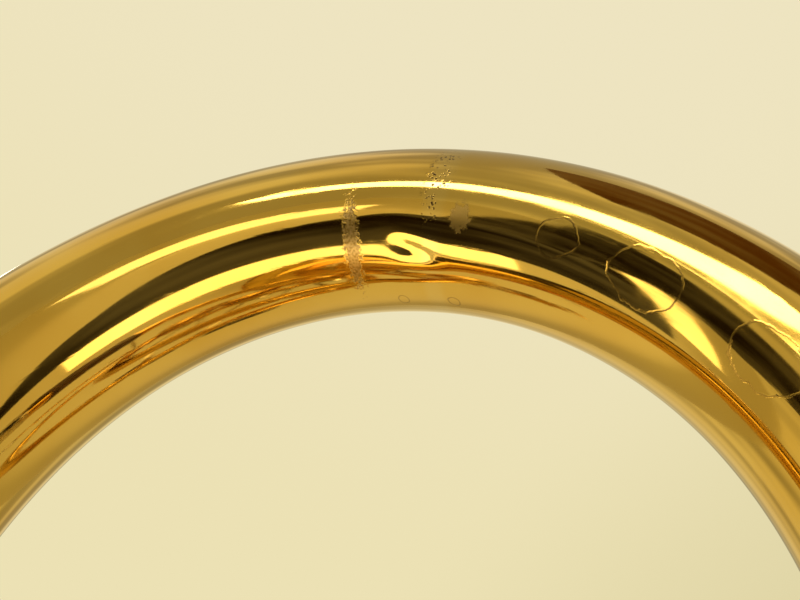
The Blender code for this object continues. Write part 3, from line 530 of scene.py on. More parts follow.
# %% [markdown]
# ## The bell
# A bell is spun over a steel former from one sheet, which is why it flares so smoothly: its
# width follows one curve, from a hand's width at the throat to the open mouth. The edge is
# rolled round a wire and soldered, so it is a round bead in the end.

# %% Bell flare and its rim
def bell_radius(height):
    return RIM_RADIUS * (BELL_SPREAD / (height + BELL_SPREAD)) ** BELL_POWER


def make_bell():
    base = -BELL_HEIGHT
    heights = [FLARE_LENGTH * (ring / 60) ** 1.6 for ring in range(1, 61) if ring > 3]
    outside = [(bell_radius(height), base + height) for height in heights]
    inside = [(radius - BODY_WALL, height) for radius, height in outside]
    edge = bell_radius(0)
    lip = [(edge - 3 * RIM_BEAD, base + 0.00215), (edge - 2.3 * RIM_BEAD, base + 0.0006),
           (edge - 2.0 * RIM_BEAD, base + 0.0001), (edge - 1.2 * RIM_BEAD, base)]
    bead = [(edge - RIM_BEAD + RIM_BEAD * math.sin(t), base + RIM_BEAD - RIM_BEAD * math.cos(t))
            for t in [math.radians(a) for a in range(10, 231, 20)]]
    profile = [*inside[::-1], *lip, *bead, *outside]
    place("bell_flare_spun", turned(profile, 160, Vector((BELL_X, 0, 0))), lacquered_brass, "bell_flare",
          sharp=60)


make_bell()
print("bell mouth", round(2000 * RIM_RADIUS), "mm across")

# %% [markdown]
# ## Ferrules
# Where two tubes meet, a sleeve of nickel silver is slipped over both and soldered. It is
# turned with a raised bead at each end, which hides the solder and stiffens the edge.

# %% Ferrules over the joints
def sleeve(radius_low, radius_high, length, wall=0.0009, bead=0.00055, sides=72, middle=Vector()):
    """A ferrule: a sleeve with a round bead near each end."""
    profile = []
    rows = 40
    for row in range(rows + 1):
        share = row / rows
        near = min(share, 1 - share) * length
        ridge = (bead * math.exp(-((near - 0.0016) / 0.0007) ** 2)
                 + 0.6 * bead * math.exp(-((near - 0.0038) / 0.0005) ** 2))
        inner = radius_low + (radius_high - radius_low) * share
        profile.append((inner + wall + ridge, (share - 0.5) * length))
    inner_rows = [(radius_high + SEAT_GAP, 0.5 * length), (radius_low + SEAT_GAP, -0.5 * length)]
    return turned(profile + inner_rows, sides, middle)


FERRULE_LENGTH = 0.026
half = FERRULE_LENGTH / 2
joint = FLARE_LENGTH
place("bell_ferrule_turned", sleeve(bell_radius(joint - half), bell_radius(joint + half), FERRULE_LENGTH,
                                    middle=Vector((BELL_X, 0, joint - BELL_HEIGHT)), sides=96),
      nickel_silver, "bell_ferrule")
place("bow_ferrule_turned", sleeve(BOW_SMALL_END, BOW_SMALL_END, FERRULE_LENGTH,
                                   middle=Vector((BOW_RADIUS, 0, -BOW_TAIL))), nickel_silver, "bow_ferrule")
branch_joint = Vector((-BOW_RADIUS, VALVE_Y, -(LOWER_BOW_DEPTH + UPPER_BEND_DEPTH) / 2))
place("branch_ferrule_turned", sleeve(BRANCH_MIDDLE, BRANCH_MIDDLE, FERRULE_LENGTH, middle=branch_joint),
      nickel_silver, "branch_ferrule")
print("three ferrules,", round(FERRULE_LENGTH * 1000), "mm long")

# %% [markdown]
# ## The big bow
# This is the piece that the eye goes to. A tapered tube is filled, bent round a former, and
# hammered and burnished smooth, so its wall keeps slow waves that make reflections swim. A
# knock has left one small sharp crease on the inner side, a little right of the top. The
# mesh is fine enough to carry both as real shape, because a mirror surface shows every slope.

# %% Bow with its waves and its dent
DENT_AT, DENT_ROUND = 0.0150, math.radians(-58)  # length from the top of the bow, and angle from the front
DENT_HALF_LENGTH, DENT_HALF_WIDTH, DENT_DEPTH = 0.0085, 0.0022, 0.0008
WAVE_LENGTH, WAVE_HEIGHT = 0.034, 0.00012


def bow_route():
    start = -BELL_HEIGHT + FLARE_LENGTH + SEAT_GAP
    stem = [Vector((BELL_X, 0, start * (1 - row / 30))) for row in range(30)]
    bend = arc(0, 0, BOW_RADIUS, 180, 0, 240, 0)
    tail = [Vector((BOW_RADIUS, 0, -BOW_TAIL * row / 4)) for row in range(1, 5)]
    stem_radii = [bell_radius(point.z + BELL_HEIGHT) for point in stem]
    radii = [*stem_radii, *taper(bend, bell_radius(BELL_HEIGHT), BOW_SMALL_END), *[BOW_SMALL_END] * len(tail)]
    return stem + bend + tail, radii, -sum((b - a).length for a, b in zip(stem, stem[1:] + bend[:1]))


def make_bow():
    points, radii, stem_length = bow_route()
    top = stem_length - math.pi / 2 * BOW_RADIUS
    mesh = pipe(points, radii, BODY_WALL, 144, start_length=top)
    for vertex in mesh.vertices:
        spot_now = vertex.co
        if spot_now.z < 0:
            continue
        around_bow = math.atan2(spot_now.x, spot_now.z)
        middle = BOW_RADIUS * Vector((math.sin(around_bow), 0, math.cos(around_bow)))
        out = spot_now - middle
        normal = out.normalized()
        wave = noise.noise(spot_now / WAVE_LENGTH) * min(1.0, spot_now.z / 0.02)
        move = WAVE_HEIGHT * wave
        outward_share = normal.dot(middle.normalized())
        angle = math.atan2(outward_share, -normal.y)
        length = around_bow * BOW_RADIUS - DENT_AT
        width = (angle - DENT_ROUND) * out.length + 0.22 * length
        blunt = 0.45 if length < 0 else 1.0
        crease = math.exp(-(length / (DENT_HALF_LENGTH * blunt)) ** 2 - (width / DENT_HALF_WIDTH) ** 2)
        dish = math.exp(-(length / 0.011) ** 2 - (width / 0.006) ** 2)
        vertex.co = spot_now + normal * (move - DENT_DEPTH * (0.55 * crease + 0.45 * dish))
    place("big_bow", mesh, worn_brass, "bell_tail_bow", sharp=70)


make_bow()
print("bow thickness at its top about", round(2000 * (bell_radius(BELL_HEIGHT) + BOW_SMALL_END) / 2, 1), "mm")

# %% [markdown]
# ## The branches
# The tail of the body is two long tapered tubes. The first goes round the bottom of the horn and
# behind the bell, and the second turns over the top and drops into the third valve. They
# are made like the bow, so the same slow waves run through their reflections.

# %% Branches
def waved(mesh, height=0.00006, length=0.03):
    """Moves each point a little along its normal, in slow waves."""
    outward(mesh)
    moves = [height * noise.noise(vertex.co / length) for vertex in mesh.vertices]
    normals = [vertex.normal.copy() for vertex in mesh.vertices]
    for vertex, normal, move in zip(mesh.vertices, normals, moves):
        vertex.co = vertex.co + normal * move
    return mesh


def branch_route():
    top = [Vector((BOW_RADIUS, 0, -BOW_TAIL - SEAT_GAP))]
    lower = arc(0, -LOWER_BOW_DEPTH, BOW_RADIUS, 0, -135, 96, 0, VALVE_Y)
    lower += arc(0, -LOWER_BOW_DEPTH, BOW_RADIUS, -135, -180, 32, VALVE_Y)[1:]
    end = [Vector((-BOW_RADIUS, VALVE_Y, -(LOWER_BOW_DEPTH + UPPER_BEND_DEPTH) / 2))]
    return top + lower + end


def straights_cut(route, step=0.008):
    """The route with its long straights cut into short steps, so that waves can show."""
    points = [route[0]]
    for after in route[1:]:
        gap = after - points[-1]
        pieces = max(1, round(gap.length / step))
        before = points[-1]
        points += [before + gap * (piece / pieces) for piece in range(1, pieces + 1)]
    return points


first_route = straights_cut(branch_route())
first_radii = taper(first_route, BOW_SMALL_END, BRANCH_MIDDLE)
place("first_branch_bent", waved(pipe(first_route, first_radii, BODY_WALL, 56)), lacquered_brass,
      "first_branch")
last_port = VALVE_XS[-1] + PORT_OFFSET
second_route = [first_route[-1] + Vector((0, 0, SEAT_GAP)),
                *arc((last_port - BOW_RADIUS) / 2, -UPPER_BEND_DEPTH, (last_port + BOW_RADIUS) / 2, 180, 0,
                     90, VALVE_Y),
                Vector((last_port, VALVE_Y, VALVE_Z + PORT_REACH + SEAT_GAP))]
second_route = straights_cut(second_route)
second_radii = taper(second_route, BRANCH_MIDDLE, TUBE_RADIUS)
place("second_branch_bent", waved(pipe(second_route, second_radii, BODY_WALL, 44)), lacquered_brass,
      "second_branch")
print("branches", round(running_lengths(first_route)[-1], 3), "and",
      round(running_lengths(second_route)[-1], 3), "m")

# %% [markdown]
# ## Hand guard
# The left hand's fingers wrap the right leg of the body, where sweat would eat the lacquer,
# so a sleeve of cowhide is laced round it. The seam runs along the inside, with an edge that
# curls slightly, a row of holes and a waxed thread that zigzags across.

# %% Leather guard and its lacing
GUARD_TOP, GUARD_LENGTH, GUARD_THICK, STITCH = -0.060, 0.088, 0.0016, 0.0062
leg_slope = (BOW_SMALL_END - BRANCH_MIDDLE) / running_lengths(branch_route())[-1]


def leg_radius(z):
    return BOW_SMALL_END - leg_slope * (-BOW_TAIL - SEAT_GAP - z)


def make_guard():
    rows, sides = 64, 96
    rings, lengths, radii = [], [], []
    for face in (1, 0):
        for row in range(rows + 1):
            share = row / rows if face else 1 - row / rows
            z = GUARD_TOP - GUARD_LENGTH * share
            base = leg_radius(z) + 2 * SEAT_GAP
            roll = 0.0004 * (math.exp(-((share * GUARD_LENGTH - 0.0022) / 0.0012) ** 2)
                             + math.exp(-(((1 - share) * GUARD_LENGTH - 0.0022) / 0.0012) ** 2))
            ring = []
            for step in range(sides):
                angle = 2 * math.pi * step / sides
                seam = math.exp(-((angle - math.pi) / 0.03) ** 2)
                lips = math.exp(-((abs(angle - math.pi) - 0.10) / 0.05) ** 2)
                pull = (math.exp(-((abs(angle - math.pi) - 0.22) / 0.05) ** 2) * 0.5
                        * (1 + math.cos(2 * math.pi * z / STITCH)))
                thick = (GUARD_THICK + roll + 0.0003 * lips - 0.0009 * seam - 0.0003 * pull) if face else 0.0
                thick += 0.00012 * noise.noise(Vector((math.cos(angle), math.sin(angle),
                                                       z / 0.02)) * 2.0) * face
                ring.append(Vector((BOW_RADIUS + (base + thick) * math.cos(angle),
                                    (base + thick) * math.sin(angle), z)))
            rings.append(ring)
            lengths.append(share * GUARD_LENGTH)
            radii.append(base)
    place("hand_guard_leather", skin(rings, lengths, radii, False, joined_ends=True), cowhide, "hand_guard")
    thread = []
    count = int(GUARD_LENGTH / STITCH)
    for stitch in range(1, count):
        z = GUARD_TOP - STITCH * stitch
        for side, drop in ((1, 0.0), (-1, -0.5 * STITCH)):
            for lift, angle in ((0.0009, 0.24), (0.0022, 0.17), (0.0024, 0.0), (0.0022, -0.17),
                                (0.0009, -0.24)):
                angle = math.pi + side * angle
                radius = leg_radius(z) + lift
                height = z + drop - 0.25 * STITCH * (0.24 - side * (angle - math.pi)) / 0.24
                thread.append(Vector((BOW_RADIUS + radius * math.cos(angle), radius * math.sin(angle),
                                      height)))
    place("hand_guard_lacing", rod(thread, 0.0004, 8), waxed_thread, body="horn_body", slot="leather")
    for end, name in ((0.0042, "upper"), (GUARD_LENGTH - 0.0042, "lower")):
        z = GUARD_TOP - end
        ring = [Vector((BOW_RADIUS + (leg_radius(z) + 2 * SEAT_GAP + GUARD_THICK) * math.cos(a),
                        (leg_radius(z) + 2 * SEAT_GAP + GUARD_THICK) * math.sin(a),
                        z + 0.0001 * math.sin(60 * a)))
                for a in [2 * math.pi * step / 160 for step in range(161)]]
        place(f"hand_guard_{name}_stitching", rod(ring, 0.00028, 8), waxed_thread, body="horn_body",
              slot="leather")


make_guard()
print("guard", GUARD_LENGTH * 1000, "mm long with a stitch each", STITCH * 1000, "mm")

# %% [markdown]
# ## Mouthpipe, receiver and mouthpiece
# The mouthpipe is the thinnest tube and the most handled. Its receiver is a turned nickel
# silver socket with two rings, bored to a taper. The mouthpiece is turned brass with silver
# plate: a deep funnel cup, a round rim, and a long thin shank with a small step.

# %% Mouthpipe and receiver
RECEIVER_WALL, MOUTHPIECE_SHANK, SLIDE_GAP = 0.0022, 0.0042, 0.00015
up = Vector((math.cos(math.radians(MOUTHPIPE_ANGLE)), 0, math.sin(math.radians(MOUTHPIPE_ANGLE))))
mouth_bend = arc(0, -LOOP_DEPTH, MOUTHPIPE_RADIUS, MOUTHPIPE_ANGLE - 90, -180, 120, LOOP_Y)
pipe_tip = mouth_bend[0] + up * MOUTHPIPE_STRAIGHT
mouth_route = straights_cut([pipe_tip, *mouth_bend,
                             Vector((-MOUTHPIPE_RADIUS, LOOP_Y, MAIN_SLIDE_BOTTOM - SEAT_GAP))])
mouth_radii = taper(mouth_route, MOUTHPIPE_TIP, TUBE_RADIUS)
place("mouthpipe_bent", waved(pipe(mouth_route, mouth_radii, TUBE_WALL, 36), 0.00003), lacquered_brass,
      "mouthpipe")


def beads(profile_length, base, places, height, width, rows=120):
    """(radius, height) points of a turned sleeve with round beads at the given places."""
    points = []
    for row in range(rows + 1):
        at = profile_length * row / rows
        ridge = sum(height * math.exp(-((at - spot_at) / width) ** 2) for spot_at in places)
        points.append((base(at) + ridge, at))
    return points


def receiver_radius(at):
    step = min(1.0, max(0.0, (at / RECEIVER_LENGTH - 0.28) / 0.1))
    return MOUTHPIPE_TIP + RECEIVER_WALL * (0.5 + 0.5 * step * step * (3 - 2 * step)) - 0.0004


receiver_start = pipe_tip - up * RECEIVER_OVERLAP
bore = MOUTHPIPE_TIP + SEAT_GAP
sleeve_points = beads(RECEIVER_LENGTH, receiver_radius,
                      (0.0015, 0.3 * RECEIVER_LENGTH, RECEIVER_LENGTH - 0.0018,
                                                         RECEIVER_LENGTH - 0.0052), 0.0005, 0.0009)
socket = [(bore, RECEIVER_LENGTH), (bore, 0)]
place("receiver_turned", turned(sleeve_points + socket, 56, receiver_start, up), nickel_silver,
      "mouthpiece_receiver")


# %% [markdown]
# The mouthpiece is drawn as two smooth lines on a lathe, one for its outside and one for
# its cup and bore, because a plater's polish leaves no hard step on it.

# %% Mouthpiece
def curve_through(points, steps=10):
    """A smooth line through (radius, height) points."""
    shown = []
    padded = [points[0], *points, points[-1]]
    for a, b, c, d in zip(padded, padded[1:], padded[2:], padded[3:]):
        for step in range(steps):
            t = step / steps
            weights = (-0.5 * t + t * t - 0.5 * t ** 3, 1 - 2.5 * t * t + 1.5 * t ** 3,
                       0.5 * t + 2 * t * t - 1.5 * t ** 3, -0.5 * t * t + 0.5 * t ** 3)
            shown.append(tuple(sum(w * p[axis] for w, p in zip(weights, (a, b, c, d))) for axis in (0, 1)))
    return shown + [points[-1]]


shank_end = receiver_start + up * (RECEIVER_LENGTH - SHANK_INSIDE)
rim, full = MOUTHPIECE_RIM, MOUTHPIECE_LENGTH
top_of_shank = MOUTHPIPE_TIP - SLIDE_GAP
outside = [(MOUTHPIECE_SHANK, 0), (top_of_shank, SHANK_INSIDE), (top_of_shank + 0.0002, SHANK_INSIDE + 0.004),
           (top_of_shank + 0.0013, 0.55 * full), (top_of_shank + 0.0009, 0.58 * full),
           (0.60 * rim, 0.70 * full),
           (0.80 * rim, 0.84 * full), (0.86 * rim, 0.90 * full), (0.97 * rim, 0.93 * full),
           (rim, 0.965 * full),
           (rim - 0.0008, 0.992 * full), (rim - 0.0022, full), (rim - 0.0037, 0.987 * full)]
inside = [(rim - 0.0042, 0.965 * full), (0.60 * rim, 0.90 * full), (0.36 * rim, 0.76 * full),
          (MOUTHPIECE_BORE + 0.0002, 0.62 * full), (MOUTHPIECE_BORE, 0.58 * full), (0.0034, 0.0)]
place("mouthpiece_turned", turned(curve_through(outside, 6) + curve_through(inside, 5), 80, shank_end, up),
      silver_plate, "mouthpiece", sharp=50)
print("mouthpiece rim", round(2000 * rim, 1), "mm")

# %% [markdown]
# ## Slides and the long loop
# Each slide is a U of brass whose legs run in nickel silver outer tubes. An outer tube ends
# in a turned ring, and the inner legs show a short strip above it. The
# U ends in a bow with a small turned knob, to pull it by.

# %% Main tuning slide
SLIDE_WALL = 0.00055
MAIN_SLIDE_XS = (-MOUTHPIPE_RADIUS, -LOOP_RADIUS)


def slide_sleeve(low, high, sides=40):
    """An outer slide tube from low to high, with beads at both ends."""
    along = high - low
    length = along.length
    bead_list = (0.0011, 0.0032, length - 0.0011, length - 0.0032)
    profile = beads(length, lambda at: SLIDE_OUTER - 0.0001, bead_list, 0.00055, 0.0006, 90)
    inner = [(SLIDE_LEG + 0.00012, length), (SLIDE_LEG + 0.00012, 0)]
    return turned(profile + inner, sides, low, along.normalized())


def u_route(left, right, level, y, start, down, steps=40):
    centre, radius = (left + right) / 2, abs(right - left) / 2
    bend = arc(centre, level, radius, *((180, 360) if down else (180, 0)), steps, y)
    return [Vector((left, y, start)), *bend, Vector((right, y, start))]


def knob(centre, direction, size=1.0):
    """A small turned pull knob on a stalk."""
    points = [(0, 0), (0.0024, 0), (0.0020, 0.0012), (0.0014, 0.0022), (0.0014, 0.0036), (0.0030, 0.0048),
              (0.0038, 0.0064), (0.0030, 0.0082), (0.0014, 0.0090), (0, 0.0091)]
    return turned([(r * size, h * size) for r, h in curve_through(points, 5)], 32, centre, direction)


for name, x in zip(("main_slide_outer_in", "main_slide_outer_out"), MAIN_SLIDE_XS):
    ends = [Vector((x, LOOP_Y, z)) for z in (MAIN_SLIDE_BOTTOM, MAIN_SLIDE_TOP)]
    place(name + "_sleeve", slide_sleeve(*ends), nickel_silver, name)
main_route = u_route(*MAIN_SLIDE_XS, MAIN_SLIDE_TOP + MAIN_SLIDE_SHOWN, LOOP_Y,
                     MAIN_SLIDE_TOP - MAIN_LEG_INSIDE, False)
place("main_tuning_slide_bow", pipe(main_route, [SLIDE_LEG] * len(main_route), SLIDE_WALL, 36),
      lacquered_brass,
      "main_tuning_slide")
crown = Vector((sum(MAIN_SLIDE_XS) / 2, LOOP_Y - SLIDE_LEG + 0.0004,
                MAIN_SLIDE_TOP + MAIN_SLIDE_SHOWN + 0.0115))
place("main_tuning_slide_knob", knob(crown, Vector((0, -1, 0)), 0.8), nickel_silver,
      body=body_of["main_tuning_slide"],
      slot="nickel_silver")


# %% [markdown]
# The long loop takes the air from the tuning slide round the whole coil and into the first
# valve. Its last bend eases forward to the valve's depth, so it runs in a smooth curve.

# %% Long loop
port = VALVE_XS[0] - PORT_OFFSET
loop_start = Vector((-LOOP_RADIUS, LOOP_Y, MAIN_SLIDE_BOTTOM - SEAT_GAP))
loop_lower = arc(0, -LOOP_DEPTH, LOOP_RADIUS, 180, 360, 130, LOOP_Y)
loop_upper = arc((LOOP_RADIUS + port) / 2, -UPPER_BEND_DEPTH + 0.012, (LOOP_RADIUS - port) / 2, 0, 150, 90,
                 LOOP_Y)
loop_entry = Vector((port, VALVE_Y, VALVE_Z + PORT_REACH + SEAT_GAP))
lead_in = loop_entry + Vector((0, 0, 0.008))
easing = []
for step in range(1, 5):
    share = step / 5
    ease = share * share * (3 - 2 * share)
    easing.append(Vector((port + (loop_upper[-1].x - port) * (1 - share) ** 2,
                          LOOP_Y + (VALVE_Y - LOOP_Y) * ease,
                          loop_upper[-1].z + (lead_in.z - loop_upper[-1].z) * share)))


def smoothed(points, steps=8):
    """A smooth route through a few points."""
    shown = []
    padded = [2 * points[0] - points[1], *points, 2 * points[-1] - points[-2]]
    for a, b, c, d in zip(padded, padded[1:], padded[2:], padded[3:]):
        for step in range(steps):
            t = step / steps
            shown.append(0.5 * ((2 * b) + (c - a) * t + (2 * a - 5 * b + 4 * c - d) * t * t
                                + (3 * b - a - 3 * c + d) * t ** 3))
    return shown + [points[-1]]


turn_down = smoothed([loop_upper[-8], *easing, lead_in, loop_entry])
loop_route = straights_cut([loop_start, *loop_lower, *loop_upper[:-8], *turn_down])
place("long_loop_bent", waved(pipe(loop_route, [TUBE_RADIUS] * len(loop_route), TUBE_WALL, 36), 0.00003),
      lacquered_brass, "long_loop")
print("long loop", round(running_lengths(loop_route)[-1], 3), "m")

# %% [markdown]
# ## Rotary valves
# Each casing is a drawn brass cup with a boss turned on its front face, four short ports
# brazed on, and a ring at each port where the tube is soldered. The back is closed by a cap
# that screws on, with a milled edge to grip.

# %% Casings
AHEAD = Vector((0, 1, 0))
FRONT_WALL, CHAMBER_RADIUS, SPINDLE_RADIUS = 0.0027, 0.0156, 0.0030
CAP_WALL, CAP_SKIRT = 0.0012, 0.0045


def port_rods(centre, radius, low, high, sides=40):
    shapes = []
    for side in (-1, 1):
        for way in (-1, 1):
            middle = centre + Vector((side * PORT_OFFSET, 0, 0))
            shapes.append(rod([middle + Vector((0, 0, way * low)), middle + Vector((0, 0, way * high))],
                              radius, sides))
    return joined(shapes)


def casing_mesh(centre):
    half = CASING_HALF
    body = turned([(0, -half), (CASING_RADIUS - 0.0003, -half), (CASING_RADIUS, -half + 0.0003),
                   (CASING_RADIUS, half - 0.0030), (CASING_RADIUS - 0.0005, half - 0.0026),
                   (CASING_RADIUS - 0.0005, half - 0.0022), (CASING_RADIUS, half - 0.0018),
                   (CASING_RADIUS, half - 0.0006), (CASING_RADIUS - 0.0006, half), (0.0135, half),
                   (0.0130, half - 0.0004), (0.0122, half - 0.0004), (0.0117, half),
                   (BOSS_RADIUS + 0.0012, half),
                   (BOSS_RADIUS, half + 0.0010), (BOSS_RADIUS, half + BOSS_HEIGHT - 0.0004),
                   (BOSS_RADIUS - 0.0004, half + BOSS_HEIGHT), (0.0052, half + BOSS_HEIGHT),
                   (0.0048, half + BOSS_HEIGHT - 0.0003), (0, half + BOSS_HEIGHT - 0.0003)], 96, centre,
                   AHEAD)
    chamber = turned([(0, -2 * half), (CHAMBER_RADIUS, -2 * half), (CHAMBER_RADIUS, half - FRONT_WALL),
                      (SPINDLE_RADIUS, half - FRONT_WALL), (SPINDLE_RADIUS, 2 * half), (0, 2 * half)], 64,
                      centre, AHEAD)
    ports = port_rods(centre, TUBE_RADIUS, 0.5 * CASING_RADIUS, PORT_REACH)
    bores = port_rods(centre, TUBE_RADIUS - TUBE_WALL, 0.45 * CASING_RADIUS, PORT_REACH + 0.001)
    return combined(body, ("UNION", ports), ("DIFFERENCE", chamber), ("DIFFERENCE", bores))


def milled(radius, low, high, centre, ridges=48, depth=0.00035):
    """A ring with a milled grip: ridges all round."""
    sides = ridges * 4
    rings = []
    for height, cut in ((low, 0.6), (low + 0.0004, 1.0), (high - 0.0004, 1.0), (high, 0.6)):
        ring = []
        for step in range(sides):
            angle = 2 * math.pi * step / sides
            now = radius - depth * (1 - cut) - depth * 0.5 * (1 - math.cos(ridges * angle)) * cut
            ring.append(centre + Vector((now * math.cos(angle), height, -now * math.sin(angle))))
        rings.append(ring)
    return skin(rings, [0.0, 0.0004, high - low - 0.0004, high - low], [radius] * 4, True)


def cap_meshes(centre):
    inner = CASING_RADIUS + 0.0001
    outer = CASING_RADIUS + SEAT_GAP + CAP_WALL
    floor = -CASING_HALF - SEAT_GAP
    face = [(0, floor), (inner, floor), (inner, floor + CAP_SKIRT), (outer - 0.0003, floor + CAP_SKIRT),
            (outer, floor + CAP_SKIRT - 0.0003), (outer, floor - 0.2 * CAP_WALL),
            (outer - 0.6 * CAP_WALL, floor - CAP_WALL),
            (0.80 * outer, floor - CAP_WALL), (0.76 * outer, floor - 0.7 * CAP_WALL),
            (0.72 * outer, floor - CAP_WALL),
            (0.40 * outer, floor - CAP_WALL), (0.36 * outer, floor - 1.25 * CAP_WALL),
            (0.14 * outer, floor - 1.7 * CAP_WALL),
            (0.10 * outer, floor - 1.4 * CAP_WALL), (0, floor - 1.4 * CAP_WALL)]
    grip = milled(outer + 0.00015, floor - 0.0001, floor + 0.0024, centre)
    return turned(face, 96, centre, AHEAD), grip


for number, x in enumerate(VALVE_XS, 1):
    centre = Vector((x, VALVE_Y, VALVE_Z))
    place(f"valve_{number}_casing_turned", casing_mesh(centre), lacquered_brass, f"valve_{number}_casing",
          sharp=30)
    face, grip = cap_meshes(centre)
    place(f"valve_{number}_cap_turned", face, lacquered_brass, f"valve_{number}_cap", sharp=30)
    place(f"valve_{number}_cap_grip", grip, lacquered_brass, body="horn_body", slot="lacquered_brass",
          sharp=50)
    for side in (-1, 1):
        for way in (-1, 1):
            at = centre + Vector((side * PORT_OFFSET, 0, way * (PORT_REACH - 0.0022)))
            band = turned([(TUBE_RADIUS - 0.0001, -0.002), (TUBE_RADIUS + 0.0005, -0.0017),
                           (TUBE_RADIUS + 0.0007, 0),
                           (TUBE_RADIUS + 0.0005, 0.0017), (TUBE_RADIUS - 0.0001, 0.002)], 40, at)
            place(f"valve_{number}_port_ring_{2 + side + (1 + way) * 2}", band, nickel_silver,
                  body="horn_body",
                  slot="nickel_silver")
for number, x in enumerate(VALVE_XS[:-1], 1):
    start = VALVE_Z + PORT_REACH + SEAT_GAP
    route = u_route(x + PORT_OFFSET, x + VALVE_PITCH - PORT_OFFSET, start + 0.001, VALVE_Y, start, False, 48)
    place(f"knuckle_{number}_bent", pipe(route, [TUBE_RADIUS] * len(route), TUBE_WALL, 40), lacquered_brass,
          f"knuckle_{number}")
print("three casings with milled caps")

# %% [markdown]
# ## Stops, stop arms and their screws
# The stop arm turns with the rotor between two rubber stops held by a curved plate. A round
# headed screw with a slot clamps the arm on the spindle, and a second one carries the link.

# %% Stops
PIN_RADIUS = 0.0015


def screw_meshes(centre, radius, height, direction, slot_turn=0.5):
    """A domed screw head with a sawn slot, standing on centre."""
    dome = [(0, 0), (radius, 0), (radius, 0.35 * height)]
    dome += [(radius * math.cos(a),
              height * (0.35 + 0.65 * math.sin(a))) for a in [math.radians(d) for d in range(15, 90, 15)]]
    dome.append((0, height))
    head = turned(dome, 32, centre, direction)
    across = direction.orthogonal().normalized()
    across = Matrix.Rotation(slot_turn, 3, direction) @ across
    side = direction.cross(across)
    wide, deep, top = 0.16 * radius, 0.55 * height, centre + direction * (height * 1.2)
    low = centre + direction * (height - deep)
    corners = [low + across * wide, low - across * wide, top - across * wide, top + across * wide]
    rings = [[corner + side * way * radius * 1.2 for corner in corners] for way in (-1, 1)]
    return combined(head, ("DIFFERENCE", skin(rings, [0.0, 0.01], [0.001, 0.001], True)))


def stop_arm_mesh(centre):
    middle = (centre.x, centre.z)
    lug_half = math.degrees(math.asin(0.0018 / STOP_HUB))
    outline = circle(middle, STOP_HUB + 0.0022, 225 + lug_half - 360, 225 - lug_half, 48)
    outline += circle(middle, STOP_LUG, 225 - lug_half / 2, 225 + lug_half / 2, 8)
    arm = plate(outline, STOP_Y, STOP_Y + STOP_THICK, "Y")
    foot = Vector((centre.x + PIN_OFFSET, STOP_Y + STOP_THICK / 2, centre.z + PIN_OFFSET))
    pin = rod([foot, foot + Vector((0, PIN_HEIGHT, 0))], PIN_RADIUS, 28, Vector((1, 0, 0)))
    return combined(arm, ("UNION", pin))


def stop_plate_mesh(centre):
    middle = (centre.x, centre.z)
    reach, stop = 79, 64
    outline = circle(middle, 0.0168, 180 - reach, 180 + reach, 48) + circle(middle, 0.0092, 180 + reach,
                                                                            180 + stop, 6)
    outline += circle(middle, 0.0124, 180 + stop, 180 - stop, 40) + circle(middle, 0.0092, 180 - stop,
                                                                           180 - reach, 6)
    return plate(outline, FRONT_Y + 0.0001, STOP_Y + STOP_THICK, "Y")


for number, x in enumerate(VALVE_XS, 1):
    centre = Vector((x, VALVE_Y, VALVE_Z))
    rotor_body = body_of[f"valve_{number}_rotor"]
    place(f"valve_{number}_stop_arm_cut", stop_arm_mesh(centre), nickel_silver, f"valve_{number}_stop_arm",
          bevel=0.0003)
    place(f"valve_{number}_stop_plate_cut", stop_plate_mesh(centre), nickel_silver,
          f"valve_{number}_stop_plate",
          bevel=0.0003)
    spindle_end = Vector((x, STOP_Y + STOP_THICK - 0.0001, VALVE_Z))
    place(f"valve_{number}_arm_screw", screw_meshes(spindle_end, 0.0030, 0.0013, AHEAD, 0.4 + number),
          spring_steel,
          body=rotor_body, slot="steel")
    for end, sign in (("upper", 1), ("lower", -1)):
        angle = math.radians(180 - sign * 69.5)
        pad = Vector((x + 0.0112 * math.cos(angle), STOP_Y + 0.0002, VALVE_Z + 0.0112 * math.sin(angle)))
        block = turned([(0, 0), (0.0013, 0), (0.0014, 0.0003), (0.0014, 0.0022), (0.0012, 0.0026),
                        (0, 0.0026)],
                       24, pad, AHEAD)
        place(f"valve_{number}_{end}_bumper", block, black_rubber, body="horn_body", slot="nickel_silver")
        angle = math.radians(180 - sign * 40)
        at = Vector((x + 0.0146 * math.cos(angle), STOP_Y + STOP_THICK - 0.0001,
                     VALVE_Z + 0.0146 * math.sin(angle)))
        place(f"valve_{number}_{end}_plate_screw", screw_meshes(at, 0.0015, 0.0009, AHEAD, sign + number),
              spring_steel,
              body="horn_body", slot="steel")
print("stops at 64 degrees each way")

# %% [markdown]
# ## Valve slides
# Each valve adds a length of tube, in a slide that hangs below it. Two sleeves are held
# apart by a small turned stay, and the U that runs in them has its own knob.

